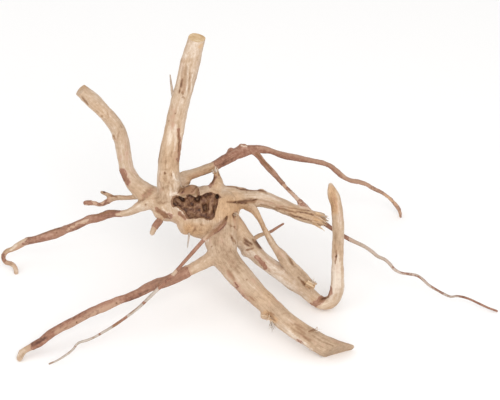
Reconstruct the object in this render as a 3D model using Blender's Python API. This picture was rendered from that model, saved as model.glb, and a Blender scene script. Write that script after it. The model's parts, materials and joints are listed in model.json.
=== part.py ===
"""Bogwood root: a peeled azalea root for an aquarium, grown as one piece of wood.

The root is laid out from its front. Each route below is a list of (right, up, near, radius) in
millimetres: right and up lie in the front picture, near points at the eye, and all three are
measured from the middle of the burl. The eye looks down at the root, from a fair distance, so
place() turns that layout level and opens it out by how far back each point lies.
"""

import math
from dataclasses import dataclass

import bmesh
import bpy
from mathutils import Matrix, Vector, noise

MM = 0.001

# Where the front picture is seen from
EYE_SLOPE = math.radians(35.0)
EYE_DISTANCE = 1800.0
SIGHT_RIGHT = 45.0
SIGHT_UP = 4.5

# Where the middle of the burl stands over the origin
BURL_X = -41.6
BURL_Y = 3.3
BURL_Z = 91.5

# Thick wood is blended as one skin, and hair roots are joined to it afterwards
SKIN_CELL = 0.8
SKIN_ROUNDS = 3
SKIN_KEEP = 0.03
FLOOR_DEPTH = 20.0
FLOOR_REACH = 700.0

# Lumps and limb sides are pushed in and out by smooth noise of this size
LUMP_DETAIL = 4
LUMP_UNEVEN = 0.10
LUMP_NOISE = 1.6
LUMP_SHIFT = 20.0
KNOB_SPACING = 9.0
OVAL_TWIST = 2.3

# Rings that round a limb's end: how far past it in radii, and how wide
ROUND_END = ((0.45, 0.86), (0.8, 0.52))

PALE_WOOD = (0.53, 0.36, 0.22, 1.0)
PALE_WOOD_ROUGHNESS = 0.62

# Lumps of the burl: (right, up, near, half width, half height, half depth)
BURL_LUMPS = [
    (-14.0, -1.0, 2.0, 21.0, 17.5, 21.0),
    (6.0, -3.0, 2.0, 21.0, 20.0, 22.0),
    (-29.0, -0.5, -1.0, 15.5, 14.5, 17.0),
    (-11.0, -15.0, 4.0, 10.0, 12.0, 15.0),
    (2.0, -16.0, 4.0, 15.0, 15.0, 19.0),
    (22.0, -2.0, 1.0, 14.0, 16.0, 20.0),
    (21.0, -22.0, 4.0, 14.0, 18.0, 18.0),
    (-26.0, 10.0, 6.0, 11.5, 11.0, 13.0),
    (-3.0, 1.0, -12.0, 22.0, 16.0, 17.0),
    (10.0, -8.0, -14.0, 15.0, 13.0, 12.0),
]

# The hollow in the burl's face, and the brown knobs that fill its floor
HOLLOW_LUMPS = [
    (-20.5, 3.5, 22.0, 6.0, 5.0, 12.0),
    (-12.0, 0.5, 23.0, 8.5, 7.5, 13.0),
    (-3.0, -2.5, 24.0, 9.0, 9.5, 13.0),
    (8.0, 1.5, 23.5, 9.0, 9.5, 14.0),
    (9.0, -6.0, 23.0, 5.5, 7.5, 12.0),
    (14.5, 6.5, 22.0, 4.0, 4.0, 11.0),
    (-1.5, 8.5, 22.0, 1.6, 6.0, 9.0),
]
HOLLOW_KNOBS = [
    (-20.0, 3.5, 10.5, 3.8, 3.0, 4.5),
    (-8.0, 4.0, 12.0, 4.2, 3.2, 5.0),
    (-12.5, -3.2, 12.0, 4.6, 3.4, 5.0),
    (-2.0, 0.5, 12.5, 3.2, 3.0, 5.0),
    (-3.5, -7.0, 12.5, 4.4, 3.4, 5.0),
    (10.5, 1.5, 12.0, 3.8, 5.6, 6.0),
    (8.5, -8.5, 12.5, 3.8, 3.6, 5.0),
    (4.0, 6.5, 11.0, 2.6, 3.0, 4.5),
]

# Knots and knobs that stand out from the limbs and the burl
KNOTS = [
    (-31.5, 27.0, 16.5, 6.5, 8.5, 6.0),
    (-25.0, 18.0, 15.5, 8.0, 7.0, 7.0),
    (-8.0, 12.0, 14.0, 8.5, 6.5, 8.0),
    (-45.5, 8.5, 1.0, 6.5, 5.0, 7.0),
    (38.0, 11.0, -2.0, 5.0, 5.0, 6.0),
    (55.0, 10.5, -4.0, 5.0, 4.5, 6.0),
    (59.8, -99.5, 28.0, 5.5, 4.0, 5.5),
    (27.8, 47.8, -20.0, 3.5, 4.0, 3.8),
    (38.5, 52.0, -25.0, 4.2, 3.6, 4.0),
    (-87.2, 81.8, -4.0, 4.2, 4.2, 5.0),
    (-74.8, 62.0, -10.0, 4.4, 5.0, 5.0),
    (42.5, -41.5, -1.0, 6.0, 5.5, 6.0),
]

SPUR = [
    (14.5, 5.0, 4.0, 9.5),
    (15.0, 14.0, 1.5, 7.6),
    (15.8, 20.5, -1.5, 4.6),
    (16.4, 26.0, -5.0, 2.2),
    (16.6, 33.5, -10.0, 1.5),
]

CROWN_LIMB = [
    (-25.0, 2.0, 2.0, 12.5),
    (-28.0, 20.0, 8.0, 11.3),
    (-28.3, 37.5, 15.0, 9.8),
    (-24.5, 61.0, 26.0, 9.0),
    (-19.5, 85.5, 38.0, 8.8),
    (-14.0, 107.0, 48.0, 8.9),
    (-8.6, 128.5, 58.0, 9.4),
    (-3.4, 149.0, 67.0, 7.9),
    (-0.5, 162.0, 73.0, 7.4),
]
CROWN_CUT = (-2.7, 149.9, 67.5)
CROWN_CUT_FACES = (0.28, 0.78, 0.56)

LEFT_LIMB = [
    (-38.0, 4.5, -2.0, 11.0),
    (-49.5, 11.5, -6.0, 9.0),
    (-59.2, 20.0, -10.0, 8.0),
    (-65.4, 31.5, -14.0, 6.7),
    (-68.4, 47.7, -15.0, 6.8),
    (-73.4, 67.1, -11.0, 6.8),
    (-87.8, 85.5, -5.0, 6.3),
    (-98.1, 95.4, -1.0, 6.9),
    (-107.1, 103.5, 1.0, 5.9),
    (-113.0, 109.0, 2.0, 5.6),
]
LEFT_CUT = (-106.8, 103.6, 1.5)
LEFT_CUT_FACES = (-0.66, 0.60, 0.45)

TWIG = [
    (-40.0, 8.5, -2.0, 3.2),
    (-52.0, 7.6, -8.0, 2.5),
    (-64.8, 6.5, -15.0, 2.2),
    (-78.3, 5.9, -22.0, 2.1),
    (-84.6, 2.2, -25.0, 1.7),
    (-90.0, 0.3, -27.0, 1.7),
    (-94.5, 1.6, -28.5, 1.8),
    (-103.0, 2.0, -31.0, 1.8),
]
TWIG_PRONG = [
    (-77.0, 5.8, -22.0, 2.0),
    (-82.8, 9.3, -23.5, 1.6),
    (-87.0, 11.5, -25.0, 1.3),
]

LEFT_ROOT = [
    (-28.0, 3.0, 4.0, 9.0),
    (-40.5, 3.0, 2.0, 7.2),
    (-53.1, -0.8, -3.0, 4.9),
    (-59.9, -4.8, -6.0, 3.8),
    (-67.8, -7.2, -10.0, 3.3),
    (-81.5, -7.8, -16.0, 3.7),
    (-91.6, -11.4, -22.0, 3.4),
    (-101.1, -13.9, -28.0, 3.6),
    (-110.5, -18.3, -34.0, 3.8),
    (-120.0, -21.9, -40.0, 3.6),
    (-129.6, -25.4, -46.0, 4.0),
    (-139.0, -28.3, -51.0, 3.8),
    (-148.5, -31.0, -55.0, 3.3),
    (-157.9, -33.4, -59.0, 3.4),
    (-164.3, -37.0, -61.0, 3.1),
    (-169.3, -40.0, -62.5, 2.7),
    (-173.7, -41.6, -63.5, 2.5),
    (-176.4, -44.8, -64.5, 2.3),
    (-176.9, -49.0, -65.5, 2.3),
    (-174.3, -52.0, -66.5, 2.3),
    (-170.6, -52.7, -67.0, 2.3),
    (-167.4, -54.7, -67.0, 2.2),
    (-165.8, -57.9, -67.0, 2.1),
    (-165.5, -61.7, -68.0, 2.0),
]

STUB = [
    (-31.0, -7.0, 8.0, 4.2),
    (-35.6, -13.5, 14.0, 3.3),
    (-39.8, -18.8, 18.0, 2.9),
    (-43.0, -25.2, 22.5, 2.6),
]

FRONT_ROOT = [
    (24.0, -38.0, 9.0, 10.0),
    (12.0, -46.5, 10.0, 8.0),
    (0.0, -53.4, 11.0, 5.4),
    (-11.7, -59.6, 13.0, 5.1),
    (-27.0, -67.5, 15.5, 5.1),
    (-45.0, -74.0, 18.0, 4.1),
    (-59.0, -81.0, 20.0, 3.7),
    (-72.0, -85.6, 22.0, 3.7),
    (-85.1, -91.0, 24.0, 4.0),
    (-99.9, -97.2, 26.5, 3.8),
    (-112.5, -104.0, 28.0, 4.0),
    (-125.6, -110.8, 30.0, 3.6),
    (-136.5, -117.6, 32.0, 3.8),
    (-143.5, -123.3, 33.0, 3.8),
    (-152.6, -128.0, 34.5, 3.7),
    (-159.5, -132.2, 36.0, 3.4),
    (-162.5, -138.2, 38.0, 3.0),
]

HEEL_LIMB = [
    (18.0, -10.0, 4.0, 17.0),
    (19.0, -30.0, 7.0, 15.0),
    (22.0, -46.0, 10.0, 12.6),
    (27.3, -53.5, 13.0, 11.5),
    (35.6, -63.5, 17.0, 11.2),
    (49.4, -78.8, 23.0, 10.2),
    (63.9, -92.2, 28.0, 9.2),
    (75.1, -103.0, 31.5, 9.2),
    (86.5, -111.4, 34.0, 9.3),
    (98.0, -118.4, 35.5, 9.0),
    (110.9, -126.0, 37.0, 9.6),
    (124.0, -131.5, 35.0, 10.0),
    (140.0, -137.0, 33.0, 10.0),
]
HEEL_CUT = (110.2, -134.0, 41.4)
HEEL_CUT_FACES = (0.36, -0.82, 0.45)

HOOK_LIMB = [
    (18.0, -8.0, 0.0, 14.0),
    (26.0, -16.0, 0.0, 11.5),
    (34.2, -24.5, -1.0, 9.4),
    (45.0, -38.0, -3.0, 8.8),
    (55.8, -49.3, -6.0, 7.0),
    (67.5, -57.8, -9.0, 7.2),
    (82.8, -68.3, -12.0, 7.6),
    (94.5, -76.8, -15.0, 6.8),
    (104.4, -85.3, -18.0, 5.9),
    (111.6, -88.8, -19.0, 5.9),
    (118.5, -86.5, -17.0, 6.0),
    (122.6, -78.5, -14.0, 6.0),
    (123.6, -64.8, -8.0, 5.9),
    (123.7, -47.7, 0.0, 5.6),
    (124.2, -31.5, 8.0, 5.4),
    (124.2, -14.4, 16.0, 5.5),
    (122.6, 0.0, 22.0, 5.2),
    (119.4, 11.0, 26.5, 5.0),
    (117.3, 18.4, 29.0, 2.4),
]

SPLIT_LIMB = [
    (14.0, 3.0, 0.0, 13.0),
    (27.0, 6.5, -1.0, 11.0),
    (40.5, 5.4, -3.0, 9.0),
    (55.8, 5.2, -5.0, 7.7),
    (67.5, 1.8, -6.5, 6.9),
    (81.0, -4.3, -8.5, 6.4),
    (94.5, -9.6, -10.5, 6.7),
    (108.0, -13.4, -12.5, 6.2),
]
SPLIT_END_SPLINTERS = [
    ((103.0, -8.0, -10.0, 2.2), (109.5, -8.0, -10.0, 1.4), (114.4, -8.8, -10.5, 0.5)),
    ((103.0, -11.5, -8.0, 2.4), (109.0, -12.4, -8.5, 1.6), (113.6, -12.6, -9.0, 0.6)),
    ((103.0, -15.0, -10.0, 2.4), (108.0, -17.0, -10.5, 1.7), (112.0, -18.0, -11.5, 0.7)),
    ((103.0, -12.0, -15.0, 2.4), (109.0, -14.0, -16.0, 1.5), (113.4, -14.6, -17.0, 0.6)),
]

TORN_STRIP = [
    (42.0, 0.5, 1.0, 4.5),
    (49.0, -4.8, 4.0, 3.5),
    (54.0, -13.5, 6.0, 2.9),
    (61.2, -27.9, 7.0, 3.1),
    (68.4, -39.6, 4.5, 3.8),
    (76.6, -49.4, 0.0, 4.9),
    (85.3, -59.3, -5.0, 5.2),
    (94.5, -69.0, -9.0, 5.0),
    (99.0, -73.4, -10.5, 4.2),
]
STRIP_END_SPLINTERS = [
    ((95.0, -66.0, -9.0, 2.2), (101.0, -69.4, -10.0, 1.6), (105.2, -71.0, -11.0, 0.6)),
    ((94.0, -69.0, -7.0, 2.4), (99.5, -74.6, -8.5, 1.6), (102.2, -78.4, -9.5, 0.7)),
]

BACK_ROOT = [
    (-24.0, 16.0, -2.0, 9.0),
    (-16.2, 24.0, -4.0, 6.3),
    (-9.0, 27.0, -5.5, 4.9),
    (3.6, 31.4, -8.5, 4.4),
    (13.5, 35.6, -11.5, 4.4),
    (21.6, 39.8, -15.0, 4.6),
    (28.8, 44.2, -19.0, 5.0),
    (37.8, 48.4, -25.0, 5.0),
    (46.8, 50.0, -30.5, 3.6),
    (55.8, 49.8, -36.0, 3.2),
    (64.8, 48.0, -41.0, 2.8),
    (74.0, 44.8, -47.0, 2.8),
    (88.7, 42.0, -57.5, 2.8),
    (102.4, 39.5, -68.0, 2.5),
    (116.0, 35.8, -79.5, 2.2),
    (123.8, 29.6, -86.5, 2.2),
    (129.7, 24.8, -92.0, 2.2),
    (135.5, 22.0, -98.0, 2.0),
    (144.4, 20.6, -106.0, 1.8),
    (149.2, 18.8, -110.5, 1.7),
    (157.1, 14.3, -118.0, 1.7),
    (163.9, 11.0, -124.0, 1.6),
    (169.7, 6.8, -129.5, 1.6),
    (175.6, 0.9, -135.0, 1.6),
    (179.4, -5.0, -139.5, 1.6),
    (180.5, -10.8, -141.6, 1.5),
]
BACK_ROOT_FORK = [
    (46.0, 50.0, -29.0, 2.6),
    (51.0, 45.5, -31.0, 2.3),
    (57.5, 37.2, -28.5, 2.1),
    (64.4, 30.0, -25.5, 2.2),
    (72.1, 21.6, -22.0, 2.0),
    (77.9, 15.4, -19.0, 1.9),
    (83.8, 9.6, -16.0, 2.0),
    (90.6, 1.9, -13.0, 2.8),
    (97.0, -6.0, -11.0, 3.6),
]

# Hair roots
FRONT_HAIR = [
    (24.0, -8.0, 17.0, 3.0),
    (22.4, -14.8, 24.5, 3.2),
    (15.8, -21.4, 28.0, 2.9),
    (10.8, -25.2, 29.5, 2.4),
    (5.3, -29.6, 31.0, 2.0),
    (-1.9, -37.3, 32.5, 1.8),
    (-8.4, -44.6, 33.5, 1.7),
    (-14.8, -51.8, 34.0, 1.6),
    (-19.6, -57.4, 34.5, 1.6),
    (-29.4, -68.0, 35.0, 1.7),
    (-39.1, -76.9, 35.5, 1.6),
    (-48.7, -86.2, 36.0, 1.5),
    (-54.2, -91.4, 36.5, 1.4),
    (-62.5, -98.0, 37.5, 1.3),
    (-69.3, -103.0, 38.5, 1.3),
    (-82.6, -111.8, 41.0, 1.25),
    (-88.4, -115.2, 42.0, 1.2),
    (-95.9, -119.4, 43.0, 1.15),
    (-103.2, -122.2, 43.5, 1.15),
    (-108.5, -123.7, 44.0, 1.1),
    (-111.3, -125.8, 44.5, 1.1),
    (-113.6, -129.0, 45.0, 1.1),
    (-116.5, -132.0, 45.5, 1.05),
    (-122.2, -136.0, 46.0, 1.0),
    (-128.5, -139.9, 46.5, 0.95),
    (-135.5, -142.9, 47.5, 0.9),
]
RIGHT_HAIR = [
    (102.0, -11.0, -12.0, 2.2),
    (109.8, -15.0, -13.5, 2.1),
    (117.9, -20.7, -15.5, 2.0),
    (130.7, -28.8, -18.0, 1.8),
    (138.5, -32.9, -18.5, 1.8),
    (148.2, -37.5, -19.0, 1.7),
    (155.1, -42.2, -19.3, 1.6),
    (159.9, -46.2, -19.6, 1.5),
    (166.8, -49.4, -19.8, 1.45),
    (170.7, -52.9, -20.0, 1.4),
    (174.6, -57.6, -20.2, 1.35),
    (180.5, -61.0, -20.4, 1.3),
    (189.3, -62.3, -20.5, 1.3),
    (196.1, -63.8, -20.5, 1.3),
    (200.0, -66.6, -20.5, 1.3),
    (204.8, -71.2, -20.5, 1.25),
    (212.7, -76.3, -20.4, 1.2),
    (220.5, -80.5, -20.2, 1.15),
    (225.4, -82.5, -20.0, 1.1),
    (231.2, -82.0, -20.0, 1.05),
    (241.9, -84.4, -19.8, 1.0),
    (249.8, -88.1, -19.7, 0.95),
    (258.6, -92.2, -19.6, 0.9),
    (267.3, -95.4, -19.5, 0.85),
]
HOOK_TWIG = [
    (45.0, -33.0, -3.0, 2.4),
    (49.5, -29.8, -6.0, 2.1),
    (53.7, -27.3, -8.5, 1.8),
    (58.2, -25.7, -10.5, 1.6),
    (64.3, -23.6, -13.0, 1.3),
    (68.7, -20.8, -15.0, 1.2),
    (75.0, -16.9, -18.5, 0.95),
]
CHIN_SPIKE = [
    (-9.4, -22.0, 12.0, 1.1),
    (-10.2, -30.0, 14.0, 0.9),
    (-11.2, -37.8, 15.5, 0.55),
]
CROWN_SPLINTER = [
    (-21.5, 88.0, 39.0, 1.6),
    (-24.6, 99.5, 44.0, 1.3),
    (-25.9, 109.0, 48.5, 1.0),
    (-26.9, 117.0, 52.5, 0.55),
]


@dataclass(frozen=True)
class Sides:
    """How a limb's sides are shaped: facets, ring spacing in mm, ridges and unevenness."""

    facets: int = 18
    spacing: float = 2.2
    ridges: int = 3
    ridge: float = 0.05
    twist: float = 0.02
    knobbly: float = 0.06


CROWN_SIDES = Sides(ridges=4, ridge=0.04)
SMOOTH_SIDES = Sides(ridge=0.03)
HEEL_SIDES = Sides(ridges=4, twist=0.01)
SPLIT_SIDES = Sides(ridges=5, ridge=0.06, twist=0.01)
STRIP_SIDES = Sides(ridges=2, ridge=0.12)
BARK_SIDES = Sides(ridge=0.06, twist=0.06, knobbly=0.12)
TWIG_SIDES = Sides(facets=12, spacing=1.6)
SPLINTER_SIDES = Sides(facets=8, spacing=1.5)
HAIR_SIDES = Sides(facets=6, spacing=4.0, ridge=0.0, knobbly=0.16)

SAWN_LIMBS = [
    (CROWN_LIMB, CROWN_SIDES, CROWN_CUT, CROWN_CUT_FACES),
    (LEFT_LIMB, SMOOTH_SIDES, LEFT_CUT, LEFT_CUT_FACES),
    (HEEL_LIMB, HEEL_SIDES, HEEL_CUT, HEEL_CUT_FACES),
]
LIMBS = [
    (HOOK_LIMB, SMOOTH_SIDES),
    (SPLIT_LIMB, SPLIT_SIDES),
    (TORN_STRIP, STRIP_SIDES),
    (LEFT_ROOT, BARK_SIDES),
    (FRONT_ROOT, BARK_SIDES),
    (BACK_ROOT, BARK_SIDES),
    (BACK_ROOT_FORK, TWIG_SIDES),
    (SPUR, TWIG_SIDES),
    (TWIG, TWIG_SIDES),
    (TWIG_PRONG, TWIG_SIDES),
    (STUB, TWIG_SIDES),
]
HAIR_ROOTS = [FRONT_HAIR, RIGHT_HAIR, HOOK_TWIG, CHIN_SPIKE, CROWN_SPLINTER]


def place(right, up, near):
    """Point of the root, in metres, from its place in the front picture."""
    spread = 1.0 - near / EYE_DISTANCE
    across = SIGHT_RIGHT + (right - SIGHT_RIGHT) * spread
    lift = SIGHT_UP + (up - SIGHT_UP) * spread
    sine = math.sin(EYE_SLOPE)
    cosine = math.cos(EYE_SLOPE)
    x = BURL_X + across
    y = BURL_Y + lift * sine - near * cosine
    z = BURL_Z + lift * cosine + near * sine
    return Vector((x, y, z)) * MM


def picture_axes():
    """Unit vectors of the front picture: to the right, up it, and out of it at the eye."""
    sine = math.sin(EYE_SLOPE)
    cosine = math.cos(EYE_SLOPE)
    return Vector((1, 0, 0)), Vector((0, sine, cosine)), Vector((0, -cosine, sine))


def between(start, end, start_slope, end_slope, length, share):
    """Point of the cubic curve that leaves start and meets end along their slopes."""
    square = share * share
    cube = square * share
    return (
        start * (2 * cube - 3 * square + 1)
        + start_slope * (length * (cube - 2 * square + share))
        + end * (3 * square - 2 * cube)
        + end_slope * (length * (cube - square))
    )


def follow(route, spacing):
    """(point, radius) pairs about spacing mm apart on a smooth curve through the route."""
    points = [place(*stop[:3]) for stop in route]
    radii = [stop[3] * MM * (1.0 - stop[2] / EYE_DISTANCE) for stop in route]
    stops = [Vector((*point, radius)) for point, radius in zip(points, radii)]
    lengths = [(b - a).length for a, b in zip(points, points[1:])]
    chords = [(b - a) / length for a, b, length in zip(stops, stops[1:], lengths)]
    slopes = [chords[0]]
    for before, after, short, long in zip(chords, chords[1:], lengths, lengths[1:]):
        slopes.append((before * long + after * short) / (short + long))
    slopes.append(chords[-1])
    samples = []
    for i, length in enumerate(lengths):
        steps = max(1, round(length / (spacing * MM)))
        ends = stops[i], stops[i + 1], slopes[i], slopes[i + 1], length
        samples += [between(*ends, step / steps) for step in range(steps)]
    samples.append(stops[-1])
    return [(sample.to_3d(), sample.w) for sample in samples]


def add_ring(bm, centre, axes, radius, sides, turned):
    """One cross-section of a limb: a round with ridges, pushed in and out by smooth noise."""
    ring = []
    for k in range(sides.facets):
        angle = math.tau * k / sides.facets
        spoke = axes[0] * math.cos(angle) + axes[1] * math.sin(angle)
        reach = 1.0 + sides.ridge * math.sin(sides.ridges * angle + turned)
        reach += sides.ridge * math.sin(2 * angle - OVAL_TWIST * turned)
        reach += sides.knobbly * noise.noise((centre + spoke * radius) / (KNOB_SPACING * MM))
        ring.append(bm.verts.new(centre + spoke * radius * reach))
    return ring


def add_limb(bm, route, sides):
    """Adds a closed, tapering limb along a route, with a rounded end."""
    samples = follow(route, sides.spacing)
    points = [point for point, _ in samples]
    tangent = (points[1] - points[0]).normalized()
    normal = tangent.orthogonal().normalized()
    travelled = 0.0
    rings = []
    for i, (point, radius) in enumerate(samples):
        last = points[max(i - 1, 0)]
        ahead = (points[min(i + 1, len(points) - 1)] - last).normalized()
        normal = tangent.rotation_difference(ahead) @ normal
        tangent = ahead
        axes = normal, tangent.cross(normal)
        travelled += (point - last).length / MM
        rings.append(add_ring(bm, point, axes, radius, sides, travelled * sides.twist))
    end, radius = samples[-1]
    for along, share in ROUND_END:
        centre = end + tangent * radius * along
        rings.append(add_ring(bm, centre, axes, radius * share, sides, travelled * sides.twist))
    skin_rings(bm, rings, end + tangent * radius)


def skin_rings(bm, rings, tip):
    """Joins the rings in turn, closes the first with a face and the last at the tip."""
    for low, high in zip(rings, rings[1:]):
        for k in range(len(low)):
            bm.faces.new((low[k - 1], low[k], high[k], high[k - 1]))
    bm.faces.new(list(reversed(rings[0])))
    last = bm.verts.new(tip)
    for k in range(len(rings[-1])):
        bm.faces.new((rings[-1][k - 1], rings[-1][k], last))


def add_lump(bm, right, up, near, half_width, half_height, half_depth):
    """Adds an uneven ellipsoid lined up with the front picture."""
    turned = Matrix(picture_axes()).transposed()
    sizes = Vector((half_width, half_height, half_depth)) * MM
    middle = place(right, up, near)
    shift = middle / (LUMP_SHIFT * MM)
    made = bmesh.ops.create_icosphere(bm, subdivisions=LUMP_DETAIL, radius=1.0)
    for vertex in made["verts"]:
        reach = 1.0 + LUMP_UNEVEN * noise.noise(vertex.co * LUMP_NOISE + shift)
        spoke = Vector(a * b for a, b in zip(vertex.co, sizes))
        vertex.co = middle + turned @ spoke * reach


def saw(bm, through, facing):
    """Cuts off what lies beyond a plane given in the front picture, and closes the cut flat."""
    right, up, near = picture_axes()
    normal = right * facing[0] + up * facing[1] + near * facing[2]
    everything = bm.verts[:] + bm.edges[:] + bm.faces[:]
    made = bmesh.ops.bisect_plane(
        bm, geom=everything, plane_co=place(*through), plane_no=normal, clear_outer=True
    )
    rim = [item for item in made["geom_cut"] if isinstance(item, bmesh.types.BMEdge)]
    bmesh.ops.holes_fill(bm, edges=rim)


def join(bm, piece):
    """Moves a finished piece's faces into bm."""
    mesh = bpy.data.meshes.new("piece")
    piece.to_mesh(mesh)
    piece.free()
    bm.from_mesh(mesh)
    bpy.data.meshes.remove(mesh)


def new_object(name, bm):
    """A scene object that holds the bmesh, with its faces pointing out."""
    bmesh.ops.recalc_face_normals(bm, faces=bm.faces)
    mesh = bpy.data.meshes.new(name)
    bm.to_mesh(mesh)
    bm.free()
    obj = bpy.data.objects.new(name, mesh)
    bpy.context.scene.collection.objects.link(obj)
    return obj


def thick_wood(name):
    """The burl and every limb and root thick enough to blend with it, as overlapping shells."""
    bm = bmesh.new()
    for route, sides, through, facing in SAWN_LIMBS:
        piece = bmesh.new()
        add_limb(piece, route, sides)
        saw(piece, through, facing)
        join(bm, piece)
    for route, sides in LIMBS:
        add_limb(bm, route, sides)
    for route in (*SPLIT_END_SPLINTERS, *STRIP_END_SPLINTERS):
        add_limb(bm, route, SPLINTER_SIDES)
    for lump in (*BURL_LUMPS, *KNOTS):
        add_lump(bm, *lump)
    return new_object(name, bm)


def blended_lumps(name, lumps):
    """An object of overlapping lumps, made one skin."""
    bm = bmesh.new()
    for lump in lumps:
        add_lump(bm, *lump)
    obj = new_object(name, bm)
    blend(obj, 1)
    apply_modifiers(obj)
    return obj


def blend(obj, rounds):
    """Makes overlapping shells one skin of small even cells, and softens it."""
    cells = obj.modifiers.new("Skin", "REMESH")
    cells.mode = "VOXEL"
    cells.voxel_size = SKIN_CELL * MM
    soften = obj.modifiers.new("Soften", "SMOOTH")
    soften.iterations = rounds


def combine(obj, operation, other):
    """Cuts another object from this one, or joins it on."""
    tool = obj.modifiers.new(operation.title(), "BOOLEAN")
    tool.operation = operation
    tool.object = other


def apply_modifiers(obj):
    """Replaces the object's mesh by its modified one."""
    graph = bpy.context.evaluated_depsgraph_get()
    graph.update()
    plain = obj.data
    obj.data = bpy.data.meshes.new_from_object(obj.evaluated_get(graph))
    obj.modifiers.clear()
    bpy.data.meshes.remove(plain)


def remove(obj):
    """Takes a helper object out of the file."""
    bpy.data.objects.remove(obj, do_unlink=True)


def fill_pockets(obj):
    """Keeps only the largest skin, so that a pocket sealed between two limbs is solid wood."""
    bm = bmesh.new()
    bm.from_mesh(obj.data)
    left = set(bm.verts)
    skins = []
    while left:
        skin = set()
        border = {left.pop()}
        while border:
            skin |= border
            border = {edge.other_vert(v) for v in border for edge in v.link_edges} - skin
        left -= skin
        skins.append(skin)
    largest = max(skins, key=len)
    for skin in skins:
        if skin is not largest:
            bmesh.ops.delete(bm, geom=list(skin), context="VERTS")
    bm.to_mesh(obj.data)
    bm.free()


def hollow_out(root):
    """Cuts the hollow into the burl and sets the knobs on its floor."""
    hollow = blended_lumps("hollow", HOLLOW_LUMPS)
    knobs = blended_lumps("knobs", HOLLOW_KNOBS)
    combine(root, "DIFFERENCE", hollow)
    combine(root, "UNION", knobs)
    blend(root, 1)
    apply_modifiers(root)
    remove(hollow)
    remove(knobs)


def thin_out(root):
    """Keeps the few faces that the shape needs."""
    fewer = root.modifiers.new("Fewer faces", "DECIMATE")
    fewer.ratio = SKIN_KEEP
    apply_modifiers(root)


def join_hair_roots(root):
    """Joins the hair roots to the wood by one union."""
    group = bpy.data.collections.new("hair_roots")
    bpy.context.scene.collection.children.link(group)
    for route in HAIR_ROOTS:
        bm = bmesh.new()
        add_limb(bm, route, HAIR_SIDES)
        hair = new_object("hair_root", bm)
        bpy.context.scene.collection.objects.unlink(hair)
        group.objects.link(hair)
    union = root.modifiers.new("Hair roots", "BOOLEAN")
    union.operation = "UNION"
    union.operand_type = "COLLECTION"
    union.collection = group
    apply_modifiers(root)
    for hair in list(group.objects):
        remove(hair)
    bpy.data.collections.remove(group)


def cut_feet(root):
    """Cuts the low points flat, so that the root rests on the ground."""
    bm = bmesh.new()
    below = Matrix.Translation((0, 0, -FLOOR_DEPTH * MM / 2))
    size = Matrix.Diagonal((FLOOR_REACH * MM, FLOOR_REACH * MM, FLOOR_DEPTH * MM, 1.0))
    bmesh.ops.create_cube(bm, size=1.0, matrix=below @ size)
    ground = new_object("ground", bm)
    combine(root, "DIFFERENCE", ground)
    apply_modifiers(root)
    remove(ground)


def pale_wood():
    """Peeled, dried root wood: pale tan and dry."""
    material = bpy.data.materials.new("pale_root_wood")
    material.use_nodes = True
    surface = material.node_tree.nodes["Principled BSDF"]
    surface.inputs["Base Color"].default_value = PALE_WOOD
    surface.inputs["Roughness"].default_value = PALE_WOOD_ROUGHNESS
    surface.inputs["Metallic"].default_value = 0.0
    return material


def main():
    """Builds the root as one object that stands on the ground over the origin."""
    for obj in list(bpy.data.objects):
        remove(obj)
    root = thick_wood("bogwood_root")
    blend(root, SKIN_ROUNDS)
    apply_modifiers(root)
    hollow_out(root)
    fill_pockets(root)
    thin_out(root)
    join_hair_roots(root)
    cut_feet(root)
    root.data.materials.clear()
    root.data.materials.append(pale_wood())
    root.data.shade_smooth()


if __name__ == "__main__":
    main()
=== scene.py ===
"""Looks of the bogwood root: a peeled azalea root for an aquarium, grown as one piece of wood.

The wood is modelled again here, along the same routes as its solid but with a finer skin. Its grain,
cracks, knots and bark are then carved and coloured along the limbs, and hair roots, splinters and
torn fibres are added. Shade in its dents, creases, grooves, hollow and bark rims, and highlights on
its ridges and folds, are painted into its colour. Lengths are in millimetres until a mesh is made.
"""

import json
import logging
import math
from collections.abc import Callable
from dataclasses import dataclass, fields
from enum import Enum

import bpy
import numpy as np
from mathutils import Matrix, Vector, noise

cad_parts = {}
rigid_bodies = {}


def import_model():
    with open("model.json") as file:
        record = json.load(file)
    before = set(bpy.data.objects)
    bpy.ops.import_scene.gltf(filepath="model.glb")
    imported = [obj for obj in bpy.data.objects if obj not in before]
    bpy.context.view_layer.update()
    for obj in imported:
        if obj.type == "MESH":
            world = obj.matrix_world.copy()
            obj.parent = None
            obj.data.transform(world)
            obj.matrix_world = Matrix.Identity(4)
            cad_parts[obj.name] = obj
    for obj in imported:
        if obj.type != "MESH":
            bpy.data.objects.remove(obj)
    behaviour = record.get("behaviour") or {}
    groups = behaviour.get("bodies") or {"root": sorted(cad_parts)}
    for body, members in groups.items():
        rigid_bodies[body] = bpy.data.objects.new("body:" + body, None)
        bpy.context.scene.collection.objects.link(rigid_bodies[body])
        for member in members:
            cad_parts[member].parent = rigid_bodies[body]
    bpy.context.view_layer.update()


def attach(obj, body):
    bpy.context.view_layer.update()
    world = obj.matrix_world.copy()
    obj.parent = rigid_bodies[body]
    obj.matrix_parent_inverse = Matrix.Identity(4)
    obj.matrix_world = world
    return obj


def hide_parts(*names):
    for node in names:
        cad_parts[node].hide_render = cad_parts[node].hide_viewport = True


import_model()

LOG = logging.getLogger("bogwood_root")
MM = 0.001

Array = np.ndarray
Piece = bpy.types.Object
Socket = bpy.types.NodeSocket
Stop = tuple[float, float, float, float]
Place = tuple[float, float, float]
Spot = tuple[float, float]

# Modelling
SKIN_CELL = 1.03
SKIN_ROUNDS = 2
LUMP_DETAIL = 4
LUMP_UNEVEN = 0.10
LUMP_NOISE = 1.6
LUMP_SHIFT = 20.0
KNOB_SPACING = 9.0
OVAL_TWIST = 2.3
LEAST_TURN = 1e-5
SAW_LEVEL = 0.2
SAW_REACH = 45.0
SAW_MARGIN = 2.0
SAWN_FACING = 0.98
SMOOTH_ANGLE = math.radians(55.0)

# Rings that round a limb's end: how far past it in radii, and how wide
ROUND_END = ((0.45, 0.86), (0.8, 0.52), (0.97, 0.12))

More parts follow.
